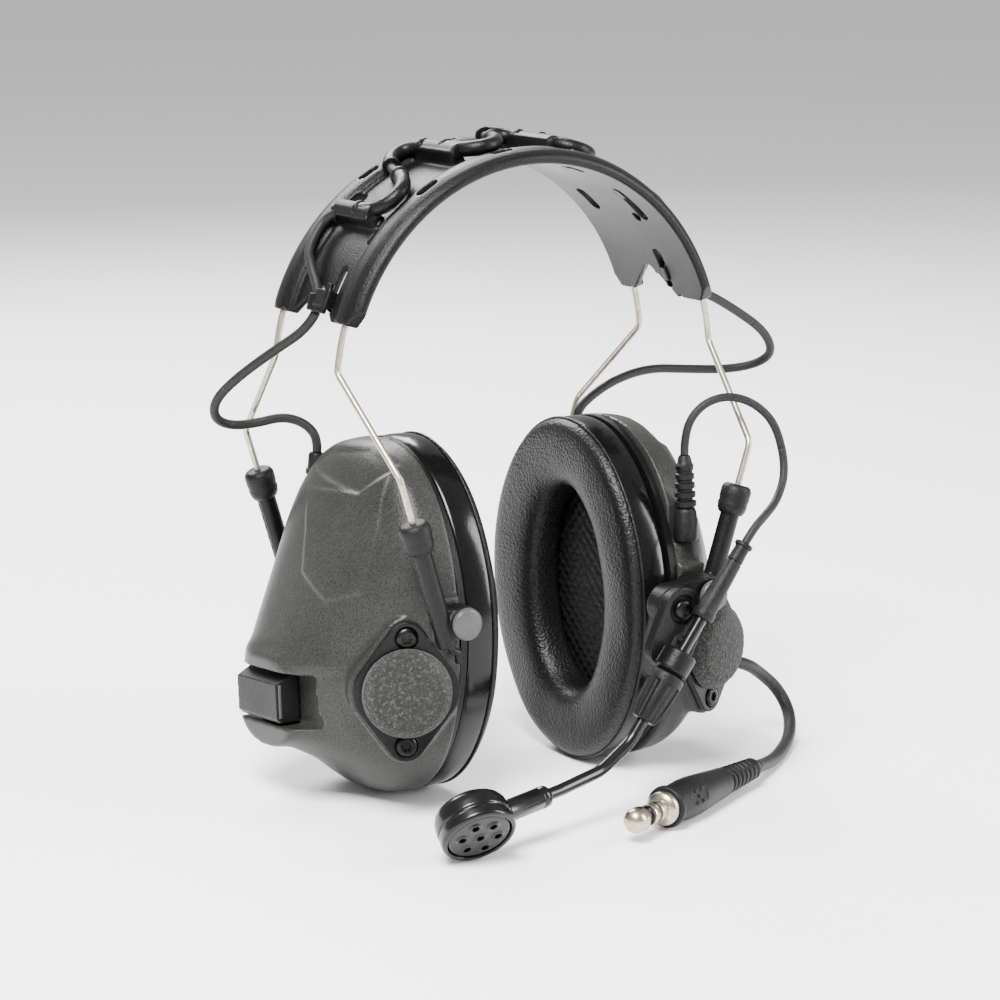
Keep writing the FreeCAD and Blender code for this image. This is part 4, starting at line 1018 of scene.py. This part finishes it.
def knob():
    """The fluted clamp nut: deep grooves between soft ribs, a round shoulder and a nose."""
    profile = [(0, 0.15), (3.5, 0.15), (4.6, 0.15), (5.0, 0.5), (5.1, 1.2), (5.1, 2.8), (4.95, 5.5)]
    profile += [(4.75, 9.0), (4.45, 12.0), (4.0, 14.2), (3.5, 15.2), (2.7, 15.4), (2.1, 15.4), (0, 15.4)]
    solid = lathe(profile, on_boom(44.0), BOOM_WAY, 96)
    side = (-Y - BOOM_WAY * (-Y).dot(BOOM_WAY)).normalized()
    cutters = []
    for step in range(8):
        out = Matrix.Rotation(radians(45 * step + 20), 3, BOOM_WAY) @ side
        cutters.append(rod(on_boom(47.2) + out * 5.45, on_boom(61.5) + out * 4.15, 1.2, 1.0, 16))
    return moulded("knob", [solid], cutters, 0.2, 3)


piece("bracket", boom_bracket(), "plastic", "boom_holder", ["boom_bracket"], sharp=0)
piece("fork", boom_fork(), "plastic", "boom_holder", ["boom_fork"], sharp=0)
pin = [(0, 0), (2.9, 0), (2.9, 0.7), (2.4, 1.2), (1.5, 1.25), (1.3, 0.7), (0, 0.7)]
piece("fork_pin", lathe(pin, (BOOM_PIN.x, -58.5, BOOM_PIN.z), -Y, 40), "screw", "boom_holder", sharp=50)
ring = [(2.2, 43.5), (3.5, 43.5), (4.0, 43.75), (3.5, 44.0), (2.2, 44.0)]
piece("o_ring", lathe(ring, BOOM_START, BOOM_WAY, 48), "jacket", "boom_holder")
piece("knob", knob(), "rubber", "knob", ["clamp_knob"], sharp=0)
boom_line = rounded_line([on_boom(2.5)] + BOOM_BEND, [12, 14, 30], 0.8)
piece("boom_tube_run", tube(boom_line, TUBE_RADIUS, 36), "gloss", "boom", ["boom_tube"], sharp=60)
grip = [(1.75, 0), (2.3, 0), (2.42, 0.3), (2.75, 10), (3.05, 16.2), (3.3, 16.6), (3.35, 18.3)]
grip += [(3.0, 19), (1.75, 19)]
neck_way = (BOOM_BEND[3] - BOOM_BEND[2]).normalized()
neck = [(1.75, 0), (2.7, 0), (3.15, 0.6), (3.2, 2.4), (2.95, 2.8), (2.95, 3.3), (3.2, 3.7), (3.2, 16.9)]
neck += [(2.9, 17), (1.75, 17)]
piece("grip", lathe(grip, on_boom(6.4), BOOM_WAY, 40), "rubber", "boom", sharp=50)
neck_foot = BOOM_BEND[3] - neck_way * 17
piece("neck", lathe(neck, neck_foot, neck_way, 44), "gloss", "boom", ["boom_sleeves"], sharp=50)
collar = [(1.3, 0), (2.3, 0), (2.75, 0.3), (2.75, 1.1), (2.2, 1.5), (2.2, 3.0), (2.35, 6.0), (1.85, 6.0)]
piece("collar", lathe(collar, BOOM_START, BOOM_WAY, 40), "rubber", "lead_collar", ["boom_collar"], sharp=50)

# ---- microphone capsule

BACK = HEAD - HEAD_WAY * 5.2


def capsule():
    """The round housing with its stepped rim and the neck it hangs from."""
    profile = [(0, 0), (7.0, 0), (8.8, 0.35), (9.9, 1.2), (10.55, 2.5), (10.75, 4.0), (10.75, 6.2)]
    profile += [(10.3, 6.5), (10.3, 7.0), (10.75, 7.3), (10.75, 9.6), (10.3, 10.3), (9.3, 10.45), (9.15, 9.9)]
    profile += [(9.1, 8.2), (0, 8.2)]
    line = [BOOM_BEND[3] + neck_way * step for step in (-0.1, 3, 4.5)]
    neck_end = line[-1]
    arm = tube(line, lambda share: 3.2 + 0.5 * share)
    foot = rod(neck_end - neck_way * 1.5, HEAD.lerp(neck_end, 0.35), 3.6, 4.6)
    return moulded("capsule", [lathe(profile, BACK, HEAD_WAY, 96), arm, foot], (), 0.26, 3)


def grille():
    """The front plate, slightly domed, with seven round wells."""
    side = HEAD_WAY.cross(Z).normalized()
    face = BACK + HEAD_WAY * 8.3
    disc = lathe([(0, 0), (9.05, 0), (9.05, 1.5), (8.3, 1.8), (4, 2.05), (0, 2.1)], face, HEAD_WAY, 80)
    rings, wells = [], []
    for step in range(7):
        spoke = Matrix.Rotation(radians(60 * step), 3, HEAD_WAY) @ side * (5.3 if step < 6 else 0)
        foot = face + spoke
        rings.append(lathe([(0, 1.0), (1.75, 1.0), (1.75, 2.3), (1.3, 2.5), (0, 2.5)], foot, HEAD_WAY, 28))
        wells.append(lathe([(0, 0.6), (1.05, 0.6), (1.05, 4), (0, 4)], foot, HEAD_WAY, 24))
    return moulded("grille", [disc, *rings], wells, 0.2, 2)


piece("capsule", capsule(), "gloss", "boom", ["mic_housing"], sharp=0)
piece("grille", grille(), "gloss", "boom", ["mic_grille"], sharp=0)

# ---- plug and its cable

contacts = [
    [(0, 0), (1.2, 0.15), (2.2, 0.6), (3.0, 1.4), (3.45, 2.4), (3.55, 3.2), (3.55, 5.6), (3.2, 6.1)]
    + [(2.5, 6.8), (2.2, 7.4), (2.3, 8.4), (0, 8.4)],
    [(0, 9.65), (2.9, 9.65), (3.0, 9.8), (3.0, 12.0), (2.9, 12.15), (0, 12.15)],
    [(0, 13.35), (2.95, 13.35), (3.0, 13.5), (3.0, 16.1), (3.6, 16.3), (4.6, 16.9), (4.95, 17.5)]
    + [(4.95, 18.9), (0, 18.9)],
]
metal = merged(*[lathe(profile, PLUG_TIP, PLUG_WAY, 56) for profile in contacts])
piece("contacts", metal, "nickel", "left_cup", ["plug_contacts"], sharp=50)
ring = [(0, 0), (2.9, 0), (3.0, 0.15), (3.0, 0.95), (2.9, 1.1), (0, 1.1)]
rings = [lathe([(r, step + start) for r, step in ring], PLUG_TIP, PLUG_WAY, 48) for start in (8.5, 12.2)]
piece("plug_rings", merged(*rings), "gloss", "left_cup", ["plug_insulators"], sharp=50)


def plug_body():
    """The grip: front flange, bulged body with a thumb pad, and a ribbed tail."""
    profile = [(0, 19.0), (5.4, 19.0), (6.0, 19.4), (6.1, 20.0), (6.1, 20.9), (5.8, 21.3), (5.15, 21.6)]
    profile += [(5.3, 23), (5.6, 26), (5.85, 30), (5.8, 34), (5.5, 38), (5.05, 43), (4.6, 48), (4.35, 51.6)]
    profile += [(3.9, 52.3), (3.0, 52.5)]
    for count in range(7):
        start, rib = 53.0 + 2.6 * count, 4.1 - 0.13 * count
        profile += [(2.9, start), (rib - 0.25, start + 0.1), (rib, start + 0.4), (rib, start + 1.3)]
        profile += [(rib - 0.25, start + 1.6), (2.9, start + 1.7)]
    profile += [(2.5, 71.4), (2.2, 72), (0, 72)]
    facing = Vector((-0.52, -0.83, 0.2))  # the thumb pad's side
    out = (facing - PLUG_WAY * facing.dot(PLUG_WAY)).normalized()
    side = PLUG_WAY.cross(out)
    middle = PLUG_TIP + PLUG_WAY * 30
    pad = lathe([(0, 5.35), (4.3, 5.35), (4.3, 8), (0, 8)], middle, out, 56)
    dots = []
    for a, b in ((0, 0), (1.7, 1.7), (-1.7, 1.7), (1.7, -1.7), (-1.7, -1.7)):
        spot = middle + PLUG_WAY * a + side * b + out * 5.2
        dots.append(lathe([(0, -1), (0.62, -1), (0.6, 0.35), (0.35, 0.6), (0, 0.65)], spot, out, 16))
    body = moulded("plug", [lathe(profile, PLUG_TIP, PLUG_WAY, 96)], [pad], 0.22, 2)
    return body, merged(*dots)


body, dots = plug_body()
plug_piece = piece("plug_grip", body, "rubber", "left_cup", ["plug_body"], sharp=0)
dots_piece = piece("plug_dots", dots, "rubber", "left_cup")
down_line = nurbs_line(DOWNLEAD)
down_tube = tube(down_line, DOWNLEAD_RADIUS, 32)
downlead = piece("downlead", down_tube, "jacket", "left_cup", ["downlead"], sharp=0)

# ---- cable exits

relief = [(0, 0), (2.9, 0), (2.95, 1.5), (2.5, 1.9), (2.5, 3.5), (2.95, 3.7), (2.95, 5.3), (2.5, 5.5)]
relief += [(2.5, 7.1), (2.95, 7.3), (2.95, 8.9), (2.5, 9.1), (2.45, 13.0), (2.1, 13.7), (0, 13.74)]
both("relief", lathe(relief, RELIEF_FOOT, RELIEF_WAY, 36), "rubber", "cup", ["cable_relief"], sharp=50)
long = (BOOT_TOP - BOOT_FOOT).length
boot = [(0, 0), (3.2, 0), (3.6, 0.5), (3.6, 6.4), (3.3, 6.9), (3.3, 8.6), (2.9, 9.3)]
for count in range(5):
    start, rib = 10.4 + 2.7 * count, 3.3 - 0.16 * count
    boot += [(2.3, start - 0.3), (rib - 0.05, start), (rib, start + 1.4), (2.3, start + 1.7)]
boot += [(1.9, long - 0.6), (1.5, long), (0, long)]
piece("boot", lathe(boot, BOOT_FOOT, BOOT_WAY, 40), "rubber", "left_cup", ["mic_connector"], sharp=50)
long = (GLAND_END - GLAND_FOOT).length
gland = [(0, 0), (3.3, 0), (3.3, long - 1.2), (2.9, long - 0.3), (2.2, long), (0, long)]
piece("gland", lathe(gland, GLAND_FOOT, GLAND_WAY, 36), "rubber", "left_cup", ["downlead_gland"], sharp=50)

# ---- inner parts: plain finishes on the frame's own solids

INNER = {"driver": "inner", "circuit_board": "inner", "mic_element": "inner"}
INNER |= {"battery_cell": "cell", "baffle": "plastic"}
looks = {f"{side}_{name}": finish for name, finish in INNER.items() for side in ("left", "right")}
looks["boom_mic_element"] = "inner"
for name, finish in looks.items():
    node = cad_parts[name]
    node.data.materials.clear()
    node.data.materials.append(FINISHES[finish][0])
